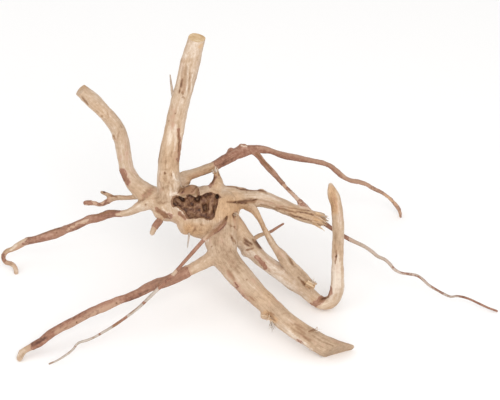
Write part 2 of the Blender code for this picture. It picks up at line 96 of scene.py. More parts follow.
# Marks: width left at a tapering end, and how far a mark fades out of and into itself
TAPER_END = 0.3
MARK_FADE = 0.9
MARK_CORE = 0.35

# Materials: roughness of the noise's edges
NOISE_DETAIL = 3.0

# Torn fibres: how the length, width, gold and tone of each may differ from its tuft's
FIBRE_SEED = 7
FIBRE_FACETS = 5
FIBRE_SPACING = 1.2
FIBRE_KNOBBLY = 0.2
FIBRE_LENGTHS = (0.35, 1.0)
FIBRE_WIDTHS = (0.45, 1.0)
FIBRE_GOLDS = (0.5, 1.3)
FIBRE_TONES = (-0.5, 1.2)

# Stops of a fibre: shares of its lean, its curl and its thickness, and how deep it is rooted
FIBRE_STOPS = ((0.0, 0.0, 1.0), (0.4, 0.0, 0.75), (0.75, 0.35, 0.5), (1.0, 1.0, 0.15))
FIBRE_ROOT = 0.25

# Seeds of a piece and of the next lie this far apart
SEED_STEP = 10

# Carving: what the materials read of it, and how finely it finds its way over the skin
SHARES = ("bark", "dark", "tone", "gold", "grey", "hollow")
CARVING_SPACING = 1.0
LOCATE_CHUNK = 4000
JOINT_SOFTNESS = 1.3
LEAST_SHARE = 0.01
SIGHT_CELL = 2.5
SIGHT_DEPTH = 7.0
SIGHT_FACING = (-0.15, 0.1)
BARK_EDGE = (0.42, 0.58)
BARK_THICKNESS = 0.35
CRACK_LINES = (0.06, 0.0)
CRACK_PATCHES = (0.05, 0.3)
CRACK_DEPTH = 0.35
CRACK_DARK = 0.35
GOLD_RISE = (0.0, 0.6)
GOLD_MOST = 0.4
# Painted shade in dents and creases: how widely they are found, how far below their surroundings they
# lie, and how dark the shade is
DENT_ROUNDS = 6
DENT_DEPTHS = (0.25, 1.1)
DENT_SHADE = 0.5

# The rotted hollow: how its rim and folds are carved, with painted shade in its sunken parts and folds
# lightened partly as painted highlight
HOLLOW_RIM = (-0.7, 0.3)
FOLD_SHARP = 3.0
FOLD_ROUNDS = 12
FOLD_DEPTHS = (-0.3, 1.2)
FOLD_SHADE = 1.2
ROTTED_SINK = 0.2
ROTTED_LIGHT = 0.25
ROTTED_GRAIN = 0.5
ROTTED_CLEAR = 0.2

# Scars on the sides that the front doesn't show
SCAR_SEED = 41
SCAR_SPACING = 13.0
SCAR_PLACES = (0.12, 0.95)
SCAR_LENGTHS = (2.0, 16.0)
SCAR_WIDTHS = (1.1, 2.2)
SCAR_EDGE = (0.7, 0.15)
SCAR_FACING = 0.15
SCAR_DEPTH = 0.8
SCAR_DARK = 0.8

# Lumps of the burl: (right, up, near, half width, half height, half depth)
BURL_LUMPS = [
    (-14.0, -1.0, 2.0, 21.0, 17.5, 21.0), (6.0, -3.0, 2.0, 21.0, 20.0, 22.0),
    (-29.0, -0.5, -1.0, 15.5, 14.5, 17.0), (-11.0, -15.0, 4.0, 10.0, 12.0, 15.0),
    (2.0, -16.0, 4.0, 15.0, 15.0, 19.0), (22.0, -2.0, 1.0, 14.0, 16.0, 20.0),
    (21.0, -22.0, 4.0, 14.0, 18.0, 18.0), (-26.0, 10.0, 6.0, 11.5, 11.0, 13.0),
    (-3.0, 1.0, -12.0, 22.0, 16.0, 17.0), (10.0, -8.0, -14.0, 15.0, 13.0, 12.0),
    (-13.5, 21.0, -1.5, 5.5, 4.2, 5.0),
]

# The hollow in the burl's face: its outline in the front picture, and the lobes on its floor
HOLLOW_OUTLINE = [
    (-26.3, 3.2), (-24.7, 7.7), (-21.9, 8.6), (-19.4, 8.5), (-15.4, 6.4), (-13.1, 6.4), (-12.2, 8.8),
    (-10.6, 9.6), (-7.4, 8.5), (-4.1, 6.8), (-2.8, 7.5), (-2.2, 15.0), (-1.2, 15.2), (0.0, 8.6),
    (1.4, 8.5), (5.4, 10.9), (9.5, 11.9), (13.5, 10.1), (16.7, 10.1), (19.2, 6.8), (16.7, 5.6),
    (15.9, 0.0), (13.9, -5.7), (13.1, -10.9), (10.7, -13.2), (6.7, -14.0), (3.1, -11.6), (-1.0, -11.3),
    (-3.3, -12.4), (-7.4, -12.1), (-11.4, -12.9), (-12.2, -11.6), (-15.4, -5.7), (-18.3, -4.1),
    (-21.9, -0.8), (-23.9, -2.4), (-25.5, -0.4),
]
HOLLOW_MOUTH = 50.0
HOLLOW_FLOOR = 10.0
HOLLOW_BACK = 3.0
HOLLOW_LOBES = [
    (-20.6, 3.6, 10.0, 4.2, 3.2, 5.0), (-9.6, 6.0, 11.5, 4.4, 3.4, 5.5),
    (-13.5, -0.8, 11.0, 5.4, 4.2, 6.0), (-9.0, -7.4, 10.5, 5.6, 5.0, 6.5),
    (-2.6, -1.4, 11.0, 4.6, 5.2, 6.0), (-0.5, -8.2, 10.5, 6.2, 3.8, 6.0),
    (3.2, 4.4, 10.0, 3.0, 3.8, 5.5), (10.4, 1.8, 11.5, 4.6, 8.6, 7.0),
    (8.6, -8.6, 11.0, 4.6, 4.8, 6.5),
]

# Knots and knobs that stand out from the limbs and the burl
KNOTS = [
    (-31.5, 27.0, 16.5, 6.5, 8.5, 6.0), (-25.0, 18.0, 15.5, 8.0, 7.0, 7.0),
    (-8.0, 12.0, 14.0, 8.5, 6.5, 8.0), (-45.5, 8.5, 1.0, 6.5, 5.0, 7.0),
    (38.0, 11.0, -2.0, 5.0, 5.0, 6.0), (55.0, 10.5, -4.0, 5.0, 4.5, 6.0),
    (59.8, -99.5, 28.0, 5.5, 4.0, 5.5), (27.8, 47.8, -20.0, 3.5, 4.0, 3.8),
    (38.5, 52.0, -25.0, 4.2, 3.6, 4.0), (-87.2, 81.8, -4.0, 4.2, 4.2, 5.0),
    (-74.8, 62.0, -10.0, 4.4, 5.0, 5.0), (42.5, -41.5, -1.0, 6.0, 5.5, 6.0),
    (-105.0, 96.4, -1.0, 2.8, 3.6, 3.0),
]

SPUR = [
    (14.5, 5.0, 4.0, 9.5), (15.0, 14.0, 1.5, 7.8), (15.6, 20.5, -1.5, 5.2), (15.2, 26.0, -5.0, 3.2),
    (14.8, 31.0, -8.5, 2.3), (14.4, 34.0, -10.5, 1.5),
]

CROWN_LIMB = [
    (-25.0, 2.0, 2.0, 12.5), (-28.0, 20.0, 8.0, 11.3), (-28.3, 37.5, 15.0, 9.8),
    (-24.5, 61.0, 26.0, 9.0), (-19.5, 85.5, 38.0, 8.8), (-14.0, 107.0, 48.0, 8.9),
    (-8.6, 128.5, 58.0, 9.4), (-3.4, 149.0, 67.0, 7.9), (-0.5, 162.0, 73.0, 7.4),
]
CROWN_CUT = (-2.7, 150.7, 67.5)
CROWN_CUT_FACES = (0.14, 0.80, 0.56)

LEFT_LIMB = [
    (-38.0, 4.5, -2.0, 11.0), (-49.5, 11.5, -6.0, 9.0), (-59.2, 20.0, -10.0, 8.0),
    (-65.4, 31.5, -14.0, 6.7), (-68.4, 47.7, -15.0, 6.8), (-73.4, 67.1, -11.0, 6.8),
    (-87.8, 85.5, -5.0, 6.3), (-98.1, 95.4, -1.0, 6.9), (-107.1, 103.5, 1.0, 5.9),
    (-113.0, 109.0, 2.0, 5.6),
]
LEFT_CUT = (-106.8, 103.6, 1.5)
LEFT_CUT_FACES = (-0.66, 0.60, 0.45)

TWIG = [
    (-40.0, 8.5, -2.0, 3.4), (-52.0, 7.6, -8.0, 2.8), (-64.8, 6.5, -15.0, 2.5),
    (-78.3, 5.9, -22.0, 2.8), (-84.6, 2.4, -25.0, 2.4), (-90.0, 0.3, -27.0, 1.9),
    (-94.5, 1.6, -28.5, 2.2), (-103.0, 2.0, -31.0, 2.5),
]
TWIG_PRONG = [
    (-77.0, 5.8, -22.0, 2.6), (-82.8, 9.3, -23.5, 2.1), (-88.5, 11.7, -25.0, 1.8),
]

LEFT_ROOT = [
    (-28.0, 3.0, 4.0, 9.0), (-40.5, 3.0, 2.0, 7.2), (-53.1, -0.8, -3.0, 4.9), (-59.9, -4.8, -6.0, 3.8),
    (-67.8, -7.2, -10.0, 3.3), (-81.5, -7.8, -16.0, 3.7), (-91.6, -11.4, -22.0, 3.4),
    (-101.1, -13.9, -28.0, 3.6), (-110.5, -18.3, -34.0, 3.8), (-120.0, -21.9, -40.0, 3.6),
    (-129.6, -25.4, -46.0, 4.0), (-139.0, -28.3, -51.0, 3.8), (-148.5, -31.0, -55.0, 3.3),
    (-157.9, -33.4, -59.0, 3.4), (-164.3, -37.0, -61.0, 3.1), (-169.3, -40.0, -62.5, 2.7),
    (-173.7, -41.6, -63.5, 2.5), (-176.4, -44.8, -64.5, 2.3), (-176.9, -49.0, -65.5, 2.3),
    (-174.3, -52.0, -66.5, 2.3), (-170.6, -52.7, -67.0, 2.3), (-167.4, -54.7, -67.0, 2.2),
    (-165.8, -57.9, -67.0, 2.1), (-165.5, -61.7, -68.0, 2.0),
]

STUB = [
    (-33.0, -6.0, -1.0, 3.8), (-35.0, -12.5, 9.5, 3.2), (-39.8, -18.8, 18.0, 2.9),
    (-43.0, -25.2, 22.5, 2.6),
]

FRONT_ROOT = [
    (24.0, -38.0, 9.0, 10.0), (12.0, -46.5, 10.0, 8.0), (0.0, -53.4, 11.0, 5.4),
    (-11.7, -59.6, 13.0, 5.1), (-27.0, -67.5, 15.5, 5.1), (-45.0, -74.0, 18.0, 4.1),
    (-59.0, -81.0, 20.0, 3.7), (-72.0, -85.6, 22.0, 3.7), (-85.1, -91.0, 24.0, 4.0),
    (-99.9, -97.2, 26.5, 3.8), (-112.5, -104.0, 28.0, 4.0), (-125.6, -110.8, 30.0, 3.6),
    (-136.5, -117.6, 32.0, 3.8), (-143.5, -123.3, 33.0, 3.8), (-152.6, -128.0, 34.5, 3.7),
    (-159.5, -132.2, 36.0, 3.4), (-162.5, -138.2, 38.0, 3.0),
]

HEEL_LIMB = [
    (18.0, -10.0, 4.0, 17.0), (19.0, -30.0, 7.0, 15.0), (22.0, -46.0, 10.0, 12.6),
    (27.3, -53.5, 13.0, 11.5), (35.6, -63.5, 17.0, 11.2), (49.4, -78.8, 23.0, 10.2),
    (63.9, -92.2, 28.0, 9.2), (75.1, -103.0, 31.5, 9.2), (86.5, -111.4, 34.0, 9.3),
    (98.0, -118.4, 35.5, 9.0), (110.9, -126.0, 37.0, 9.6), (124.0, -131.5, 35.0, 10.0),
    (140.0, -137.0, 33.0, 10.0),
]
HEEL_CUT = (110.2, -134.0, 41.4)
HEEL_CUT_FACES = (0.36, -0.82, 0.45)

HOOK_LIMB = [
    (18.0, -8.0, 0.0, 14.0), (26.0, -16.0, 0.0, 11.5), (34.2, -24.5, -1.0, 9.4),
    (45.0, -38.0, -3.0, 8.8), (55.8, -49.3, -6.0, 7.0), (67.5, -57.8, -9.0, 7.2),
    (82.8, -68.3, -12.0, 7.6), (94.5, -76.8, -15.0, 6.8), (104.4, -85.3, -18.0, 5.9),
    (111.6, -88.8, -19.0, 5.9), (118.5, -86.5, -17.0, 6.0), (122.6, -78.5, -14.0, 6.0),
    (123.6, -64.8, -8.0, 5.9), (123.7, -47.7, 0.0, 5.6), (124.2, -31.5, 8.0, 5.4),
    (124.2, -14.4, 16.0, 5.5), (122.6, 0.0, 22.0, 5.2), (119.4, 11.0, 26.5, 5.0),
    (117.3, 18.4, 29.0, 2.4),
]

SPLIT_LIMB = [
    (14.0, 3.0, 0.0, 13.0), (27.0, 6.5, -1.0, 11.0), (40.5, 5.4, -3.0, 9.0), (55.8, 5.2, -5.0, 7.7),
    (67.5, 1.8, -6.5, 6.9), (81.0, -4.3, -8.5, 6.4), (94.5, -9.6, -10.5, 6.7),
    (108.0, -13.4, -12.5, 6.2),
]
SPLIT_END_SPLINTERS = [
    ((103.0, -8.0, -10.0, 2.2), (109.5, -8.0, -10.0, 1.4), (114.4, -8.8, -10.5, 0.5)),
    ((103.0, -11.5, -8.0, 2.4), (109.0, -12.4, -8.5, 1.6), (113.6, -12.6, -9.0, 0.6)),
    ((103.0, -15.0, -10.0, 2.4), (108.0, -17.0, -10.5, 1.7), (112.0, -18.0, -11.5, 0.7)),
    ((103.0, -12.0, -15.0, 2.4), (109.0, -14.0, -16.0, 1.5), (113.4, -14.6, -17.0, 0.6)),
]

TORN_STRIP = [
    (42.0, 0.5, 1.0, 4.5), (49.0, -4.8, 4.0, 3.5), (54.0, -13.5, 6.0, 2.9), (61.2, -27.9, 7.0, 3.1),
    (68.4, -39.6, 4.5, 3.8), (76.6, -49.4, 0.0, 4.9), (85.3, -59.3, -5.0, 5.2),
    (94.5, -69.0, -9.0, 5.0), (99.0, -73.4, -10.5, 4.2),
]
STRIP_END_SPLINTERS = [
    ((95.0, -66.0, -9.0, 2.2), (101.0, -69.4, -10.0, 1.6), (105.2, -71.0, -11.0, 0.6)),
    ((94.0, -69.0, -7.0, 2.4), (99.5, -74.6, -8.5, 1.6), (102.2, -78.4, -9.5, 0.7)),
]

BACK_ROOT = [
    (-24.0, 16.0, -2.0, 9.0), (-16.2, 24.0, -4.0, 6.3), (-9.0, 27.0, -5.5, 4.9), (3.6, 31.4, -8.5, 4.4),
    (13.5, 35.6, -11.5, 4.4), (21.6, 39.8, -15.0, 4.6), (28.8, 44.2, -19.0, 5.0),
    (37.8, 48.4, -25.0, 5.0), (46.8, 50.0, -30.5, 3.6), (55.8, 49.8, -36.0, 3.2),
    (64.8, 48.0, -41.0, 2.8), (74.0, 44.8, -47.0, 2.8), (88.7, 42.0, -57.5, 2.8),
    (102.4, 39.5, -68.0, 2.5), (116.0, 35.8, -79.5, 2.2), (123.8, 29.6, -86.5, 2.2),
    (129.7, 24.8, -92.0, 2.2), (135.5, 22.0, -98.0, 2.0), (144.4, 20.6, -106.0, 1.8),
    (149.2, 18.8, -110.5, 1.7), (157.1, 14.3, -118.0, 1.7), (163.9, 11.0, -124.0, 1.6),
    (169.7, 6.8, -129.5, 1.6), (175.6, 0.9, -135.0, 1.6), (179.4, -5.0, -139.5, 1.6),
    (180.5, -10.8, -141.6, 1.5),
]
BACK_ROOT_FORK = [
    (46.6, 49.6, -29.0, 3.0), (51.6, 45.3, -31.0, 2.8), (58.0, 37.2, -28.5, 2.6),
    (64.8, 30.0, -25.5, 2.6), (72.3, 21.6, -22.0, 2.4), (77.9, 15.4, -19.0, 2.2),
    (83.8, 9.6, -16.0, 2.2), (90.6, 1.9, -13.0, 2.8), (97.0, -6.0, -11.0, 3.6),
]

# Hair roots
FRONT_HAIR = [
    (22.6, -14.0, 14.0, 2.6), (20.4, -17.0, 23.5, 2.8), (15.8, -21.4, 27.5, 2.9),
    (10.8, -25.2, 29.5, 2.4), (5.3, -29.6, 31.0, 2.0), (-1.9, -37.3, 32.5, 1.8),
    (-8.4, -44.6, 33.5, 1.7), (-14.8, -51.8, 34.0, 1.6), (-19.6, -57.4, 34.5, 1.6),
    (-29.4, -68.0, 35.0, 1.7), (-39.1, -76.9, 35.5, 1.6), (-48.7, -86.2, 36.0, 1.5),
    (-54.2, -91.4, 36.5, 1.4), (-62.5, -98.0, 37.5, 1.3), (-69.3, -103.0, 38.5, 1.3),
    (-82.6, -111.8, 41.0, 1.25), (-88.4, -115.2, 42.0, 1.2), (-95.9, -119.4, 43.0, 1.15),
    (-103.2, -122.2, 43.5, 1.15), (-108.5, -123.7, 44.0, 1.1), (-111.3, -125.8, 44.5, 1.1),
    (-113.6, -129.0, 45.0, 1.1), (-116.5, -132.0, 45.5, 1.05), (-122.2, -136.0, 46.0, 1.0),
    (-128.5, -139.9, 46.5, 0.95), (-135.5, -142.9, 47.5, 0.9),
]
RIGHT_HAIR = [
    (102.0, -11.0, -12.0, 2.2), (109.8, -15.0, -13.5, 2.1), (117.9, -20.7, -15.5, 2.0),
    (130.7, -28.8, -18.0, 1.8), (138.5, -32.9, -18.5, 1.8), (148.2, -37.5, -19.0, 1.7),
    (155.1, -42.2, -19.3, 1.6), (159.9, -46.2, -19.6, 1.5), (166.8, -49.4, -19.8, 1.45),
    (170.7, -52.9, -20.0, 1.4), (174.6, -57.6, -20.2, 1.35), (180.5, -61.0, -20.4, 1.3),
    (189.3, -62.3, -20.5, 1.3), (196.1, -63.8, -20.5, 1.3), (200.0, -66.6, -20.5, 1.3),
    (204.8, -71.2, -20.5, 1.25), (212.7, -76.3, -20.4, 1.2), (220.5, -80.5, -20.2, 1.15),
    (225.4, -82.5, -20.0, 1.1), (231.2, -82.0, -20.0, 1.05), (241.9, -84.4, -19.8, 1.0),
    (249.8, -88.1, -19.7, 0.95), (258.6, -92.2, -19.6, 0.9), (267.3, -95.4, -19.5, 0.85),
]
HOOK_TWIG = [
    (45.0, -33.0, -3.0, 2.4), (49.5, -29.8, -6.0, 2.1), (53.7, -27.3, -8.5, 1.8),
    (58.2, -25.7, -10.5, 1.6), (64.3, -23.6, -13.0, 1.3), (68.7, -20.8, -15.0, 1.2),
    (75.0, -16.9, -18.5, 0.95),
]
CHIN_SPIKE = [
    (-9.4, -22.0, 12.0, 1.1), (-10.2, -30.0, 14.0, 0.9), (-11.2, -37.8, 15.5, 0.55),
]
CROWN_SPLINTER = [
    (-21.5, 88.0, 39.0, 1.6), (-24.6, 99.5, 44.0, 1.3), (-25.9, 109.0, 48.5, 1.0),
    (-26.9, 117.0, 52.5, 0.55),
]


@dataclass(frozen=True)
class FrontPicture:
    """The slanted picture in which the root is laid out, and how it stands in the world.

    Attributes:
        slope: How far the eye looks down, in radians.
        distance: From the eye to the middle of the burl.
        sight: The point of the picture, right and up of the burl, that the eye looks at.
        burl: Where the middle of the burl stands over the floor.
        pixel: Size of one pixel of the photo.
        burl_pixel: The photo's pixel at the middle of the burl, from its upper left corner.
    """

    slope: float = math.radians(35.0)
    distance: float = 1800.0
    sight: Spot = (45.0, 4.5)
    burl: Place = (-41.6, 3.3, 91.5)
    pixel: float = 0.9
    burl_pixel: Spot = (200.0, 205.0)

    @property
    def axes(self) -> Matrix:
        """Rows that point to the right, up the picture, and out of it at the eye."""
        sine, cosine = math.sin(self.slope), math.cos(self.slope)
        return Matrix(((1.0, 0.0, 0.0), (0.0, sine, cosine), (0.0, -cosine, sine)))

    def spot(self, across: float, down: float) -> Spot:
        """Right and up of a pixel of the photo, to a tenth of a millimetre."""
        right = self.pixel * (across - self.burl_pixel[0])
        up = self.pixel * (self.burl_pixel[1] - down)
        return round(right, 1), round(up, 1)

    def place(self, right: float, up: float, near: float) -> Vector:
        """Finds a point of the picture in the world.

        Args:
            right: Distance to the right of the burl.
            up: Distance up the picture from the burl.
            near: Distance out of the picture towards the eye.

        Returns:
            The point, in millimetres over the origin.
        """
        spread = 1.0 - near / self.distance
        across = self.sight[0] + (right - self.sight[0]) * spread
        lift = self.sight[1] + (up - self.sight[1]) * spread
        return self.axes.transposed() @ Vector((across, lift, near)) + Vector(self.burl)

    def read(self, points: Array) -> Array:
        """Finds world points in the picture.

        Args:
            points: Points in millimetres, one a row.

        Returns:
            Right, up and near of each point.
        """
        seen = (points - np.array(self.burl)) @ np.array(self.axes).T
        spread = 1.0 - seen[:, 2:] / self.distance
        seen[:, :2] = np.array(self.sight) + (seen[:, :2] - np.array(self.sight)) / spread
        return seen


PICTURE = FrontPicture()


def enter(mode: str) -> None:
    """Enters object mode or edit mode."""
    bpy.ops.object.mode_set(mode=mode)


def deselect_all() -> None:
    """Leaves no object selected, because an operator acts on all that is."""
    if bpy.context.object and bpy.context.object.mode != "OBJECT":
        enter("OBJECT")
    bpy.ops.object.select_all(action="DESELECT")


def pick(*pieces: Piece) -> None:
    """Selects pieces, the first of them active."""
    deselect_all()
    for piece in pieces:
        piece.select_set(True)
    bpy.context.view_layer.objects.active = pieces[0]


def join(pieces: list[Piece], name: str) -> Piece:
    """Joins pieces into the first one's mesh.

    Args:
        pieces: The pieces, which stay overlapping shells.
        name: What the joined piece is called.

    Returns:
        The joined piece.
    """
    pick(*pieces)
    bpy.ops.object.join()
    whole = bpy.context.object
    whole.name = name
    whole.data.name = name
    return whole


def finish_modifier(piece: Piece, kind: str, **settings: object) -> None:
    """Adds a modifier to a piece and applies it.

    Args:
        piece: The piece.
        kind: The modifier's type.
        **settings: What its properties are set to.
    """
    modifier = piece.modifiers.new(kind.title(), kind)
    for key, value in settings.items():
        setattr(modifier, key, value)
    pick(piece)
    bpy.ops.object.modifier_apply(modifier=modifier.name)


def read_column(items: bpy.types.bpy_prop_collection, key: str, width: int) -> Array:
    """Reads one property of all of a mesh's points or edges.

    Args:
        items: The mesh's vertices or edges.
        key: The property.
        width: How many numbers it has.

    Returns:
        One row for each item.
    """
    kind = np.int32 if key == "vertices" else np.float32
    values = np.empty(len(items) * width, kind)
    items.foreach_get(key, values)
    return values.reshape(-1, width) if kind is np.int32 else values.reshape(-1, width).astype(float)


def place_points(piece: Piece, points: Array) -> None:
    """Moves a mesh's points to new places, given in millimetres."""
    piece.data.vertices.foreach_set("co", (points * MM).astype(np.float32).ravel())
    piece.data.update()


def ramp(values: Array, start: float, end: float) -> Array:
    """Rises smoothly from 0 at start to 1 at end, or falls if end is the lower one."""
    share = np.clip((values - start) / (end - start), 0.0, 1.0)
    return share * share * (3.0 - 2.0 * share)


def cloud(points: Array, size: float | Spot, seed: int) -> Array:
    """Smooth noise over points.

    Args:
        points: Points in millimetres.
        size: Size of its blotches, or their length along the grain and their width across it.
        seed: A number that shifts the noise, so that no two layers are alike.

    Returns:
        One number from about -1 to 1 for each point.
    """
    sizes = np.array((size[0], size[1], size[1]) if isinstance(size, tuple) else (size, size, size))
    shifted = points / sizes + 17.31 * seed
    return np.array([noise.noise(point) for point in shifted.tolist()])


class Centreline:
    """The smooth line that a limb follows, with the wood's radius and a frame along it."""

    def __init__(self, route: list[Stop], spacing: float) -> None:
        """Lays the line through a route's stops.

        Args:
            route: Right, up, near and radius at each stop.
            spacing: Distance between the line's points.
        """
        places = [PICTURE.place(*stop[:3]) for stop in route]
        radii = [stop[3] * (1.0 - stop[2] / PICTURE.distance) for stop in route]
        stops = [Vector((*point, radius)) for point, radius in zip(places, radii)]
        lengths = [(b - a).length for a, b in zip(places, places[1:])]
        chords = [(b - a) / length for a, b, length in zip(stops, stops[1:], lengths)]
        slopes = [chords[0]]
        for before, after, short, long in zip(chords, chords[1:], lengths, lengths[1:]):
            slopes.append((before * long + after * short) / (short + long))
        slopes.append(chords[-1])
        samples = []
        for i, length in enumerate(lengths):
            steps = max(1, round(length / spacing))
            for step in range(steps):
                ends = stops[i], stops[i + 1], slopes[i] * length, slopes[i + 1] * length
                samples.append(self.between(*ends, step / steps))
        samples.append(stops[-1])
        self.points = np.array([sample[:3] for sample in samples])
        self.radii = np.array([sample[3] for sample in samples])
        self.lay_frames()

    @staticmethod
    def between(start: Vector, end: Vector, leaving: Vector, meeting: Vector, share: float) -> Vector:
        """Point of the cubic curve from start to end that has these slopes at its ends."""
        square, cube = share**2, share**3
        return (
            start * (2 * cube - 3 * square + 1)
            + leaving * (cube - 2 * square + share)
            + end * (3 * square - 2 * cube)
            + meeting * (cube - square)
        )

    def lay_frames(self) -> None:
        """Carries a frame along the line that doesn't twist about it."""
        points = [Vector(point) for point in self.points]
        tangent = (points[1] - points[0]).normalized()
        normal = tangent.orthogonal().normalized()
        tangents, normals, travel = [], [], [0.0]
        for i, point in enumerate(points):
            last = points[max(i - 1, 0)]
            ahead = (points[min(i + 1, len(points) - 1)] - last).normalized()
            normal = tangent.rotation_difference(ahead) @ normal
            tangent = ahead
            tangents.append(tangent)
            normals.append(normal)
            travel.append(travel[-1] + (point - last).length)
        self.travel = np.array(travel[1:])
        self.tangents = np.array(tangents)
        self.normals = np.array(normals)
        self.asides = np.cross(self.tangents, self.normals)

    def locate(self, points: Array) -> tuple[Array, Array, Array]:
        """Finds where points lie along the line.

        Args:
            points: Points in millimetres.

        Returns:
            The nearest of the line's own points, the distance to it, and each point's place
            along the line and to its two sides.
        """
        index = np.empty(len(points), int)
        for start in range(0, len(points), LOCATE_CHUNK):
            chunk = points[start : start + LOCATE_CHUNK]
            square = (self.points**2).sum(1) - 2.0 * chunk @ self.points.T
            index[start : start + LOCATE_CHUNK] = square.argmin(1)
        offset = points - self.points[index]
        beyond = (offset * self.tangents[index]).sum(1)
        along = self.travel[index] + beyond
        across = (offset * self.normals[index]).sum(1)
        aside = (offset * self.asides[index]).sum(1)
        inside = (index > 0) & (index < len(self.points) - 1)
        reach = np.sqrt(across**2 + aside**2 + np.where(inside, 0.0, beyond**2))
        return index, reach, np.stack((along, across, aside), axis=1)


@dataclass(frozen=True)
class SawCut:
    """A flat cut through a limb: a point on it, the way that it faces, and if it is freshly sawn."""

    through: Place
    facing: Place
    fresh: bool = False

    def plane(self) -> tuple[Vector, Vector]:
        """A point of the cut in millimetres, and its unit normal."""
        normal = PICTURE.axes.transposed() @ Vector(self.facing)
        return PICTURE.place(*self.through), normal.normalized()


@dataclass
class Limb:
    """A limb, root or twig: tapering wood along a route, with its bark and weathering.

    Attributes:
        name: What it is.
        route: Right, up, near and radius at each stop.
        facets: Sides of its rings.
        spacing: Distance between its rings.
        ridges: Ridges round it.
        ridge: Height of the ridges, as a share of its radius.
        twist: How much they turn, in radians a millimetre.
        knobbly: Unevenness of its sides, as a share of its radius.
        bark: How much bark is left, from 0 to 1, at distances along it.
        grey: How weathered it is, from 0 to 1, at distances along it.
        cracked: How deep its grain has opened.
        tone: How much lighter its wood is than the rest.
        marked: Whether the marks of the front picture are drawn on it too.
        cut: The saw cut at its end, if it has one.
    """

    name: str
    route: list[Stop]
    facets: int = 18
    spacing: float = 2.2
    ridges: int = 3
    ridge: float = 0.05
    twist: float = 0.02
    knobbly: float = 0.06
    bark: tuple[Spot, ...] = ((0.0, 0.0),)
    grey: tuple[Spot, ...] = ((0.0, 0.0),)
    cracked: float = 1.0
    tone: float = 0.0
    marked: bool = False
    cut: SawCut | None = None

    def __post_init__(self) -> None:
        """Lays the fine centreline that the carving follows."""
        self.line = Centreline(self.route, CARVING_SPACING)

    def model(self) -> Piece:
        """Extrudes the limb ring by ring along its route, rounds its end and ridges its sides.

        Returns:
            The limb, a closed shell.
        """
        line = Centreline(self.route, self.spacing)
        rings = list(zip(line.points, line.tangents, line.radii))
        end, tangent, radius = rings[-1]
        for along, share in ROUND_END:
            rings.append((end + tangent * radius * along, tangent, radius * share))
        centre, facing, radius = rings[0]
        deselect_all()
        bpy.ops.mesh.primitive_circle_add(
            vertices=self.facets,
            radius=radius,
            fill_type="NGON",
            location=centre,
            rotation=Vector(facing).to_track_quat("Z", "Y").to_euler(),
        )
        bpy.ops.object.transform_apply(location=True, rotation=True, scale=True)
        enter("EDIT")
        for here, there in zip(rings, rings[1:]):
            self.extrude(here, there)
        enter("OBJECT")
        limb = bpy.context.object
        limb.name = self.name
        limb.data.transform(Matrix.Scale(MM, 4))
        self.ridge_sides(limb, line)
        return limb

    @staticmethod
    def extrude(here: tuple, there: tuple) -> None:
        """Extrudes the selected end ring to its next place, turn and size."""
        start, facing = Vector(here[0]), Vector(here[1])
        end, ahead = Vector(there[0]), Vector(there[1])
        bpy.ops.mesh.extrude_region_move(TRANSFORM_OT_translate={"value": end - start})
        turn = facing.angle(ahead)
        if turn > LEAST_TURN:
            axis = facing.cross(ahead).normalized()
            side = axis.orthogonal().normalized()
            turned = Matrix((side, axis.cross(side), axis)).transposed()
            axes = {"orient_axis": "Z", "orient_matrix": turned, "center_override": end}
            bpy.ops.transform.rotate(value=-turn, **axes)
        growth = there[2] / here[2]
        bpy.ops.transform.resize(value=(growth, growth, growth), center_override=end)

    def ridge_sides(self, limb: Piece, line: Centreline) -> None:
        """Pushes the rings' points in and out, to make ridges and an uneven side."""
        points = read_column(limb.data.vertices, "co", 3) / MM
        index, _, place = line.locate(points)
        angle = np.arctan2(place[:, 2], place[:, 1])
        turned = line.travel[index] * self.twist
        push = self.ridge * np.sin(self.ridges * angle + turned)
        push += self.ridge * np.sin(2.0 * angle - OVAL_TWIST * turned)
        push += self.knobbly * cloud(points, KNOB_SPACING, 0)
        sideways = place[:, 1:2] * line.normals[index] + place[:, 2:] * line.asides[index]
        place_points(limb, points + sideways * push[:, None])

    @staticmethod
    def amount(profile: tuple[Spot, ...], along: Array) -> Array:
        """Reads a profile, such as the bark's, at distances along the limb."""
        return np.interp(along, [spot[0] for spot in profile], [spot[1] for spot in profile])


@dataclass(frozen=True)
class Lump:
    """An uneven ellipsoid of wood, lined up with the front picture."""

    right: float
    up: float
    near: float
    half_width: float
    half_height: float
    half_depth: float

    def model(self) -> Piece:
        """Adds a ball at the lump's place and size, and makes it uneven.

        Returns:
            The lump, a closed shell.
        """
        middle = PICTURE.place(self.right, self.up, self.near)
        deselect_all()
        bpy.ops.mesh.primitive_ico_sphere_add(
            subdivisions=LUMP_DETAIL,
            radius=1.0,
            location=middle * MM,
            rotation=(math.pi / 2 - PICTURE.slope, 0.0, 0.0),
        )
        lump = bpy.context.object
        ball = read_column(lump.data.vertices, "co", 3)
        shift = np.array(middle) / LUMP_SHIFT
        uneven = [noise.noise(point) for point in (ball * LUMP_NOISE + shift).tolist()]
        sizes = np.array((self.half_width, self.half_height, self.half_depth))
        place_points(lump, ball * sizes * (1.0 + LUMP_UNEVEN * np.array(uneven))[:, None])
        bpy.ops.object.transform_apply(location=True, rotation=True, scale=True)
        return lump


@dataclass(frozen=True)
class Touch:
    """What a mark does where it is.

    Attributes:
        relief: How far it stands out, in millimetres.
        bark: The bark that it adds.
        dark: How dark it is.
        tone: How much lighter it makes the wood.
        gold: How golden it makes the wood.
        tapers: Whether it thins out to its ends.
    """

    relief: float = 0.0
    bark: float = 0.0
    dark: float = 0.0
    tone: float = 0.0
    gold: float = 0.0
    tapers: bool = False


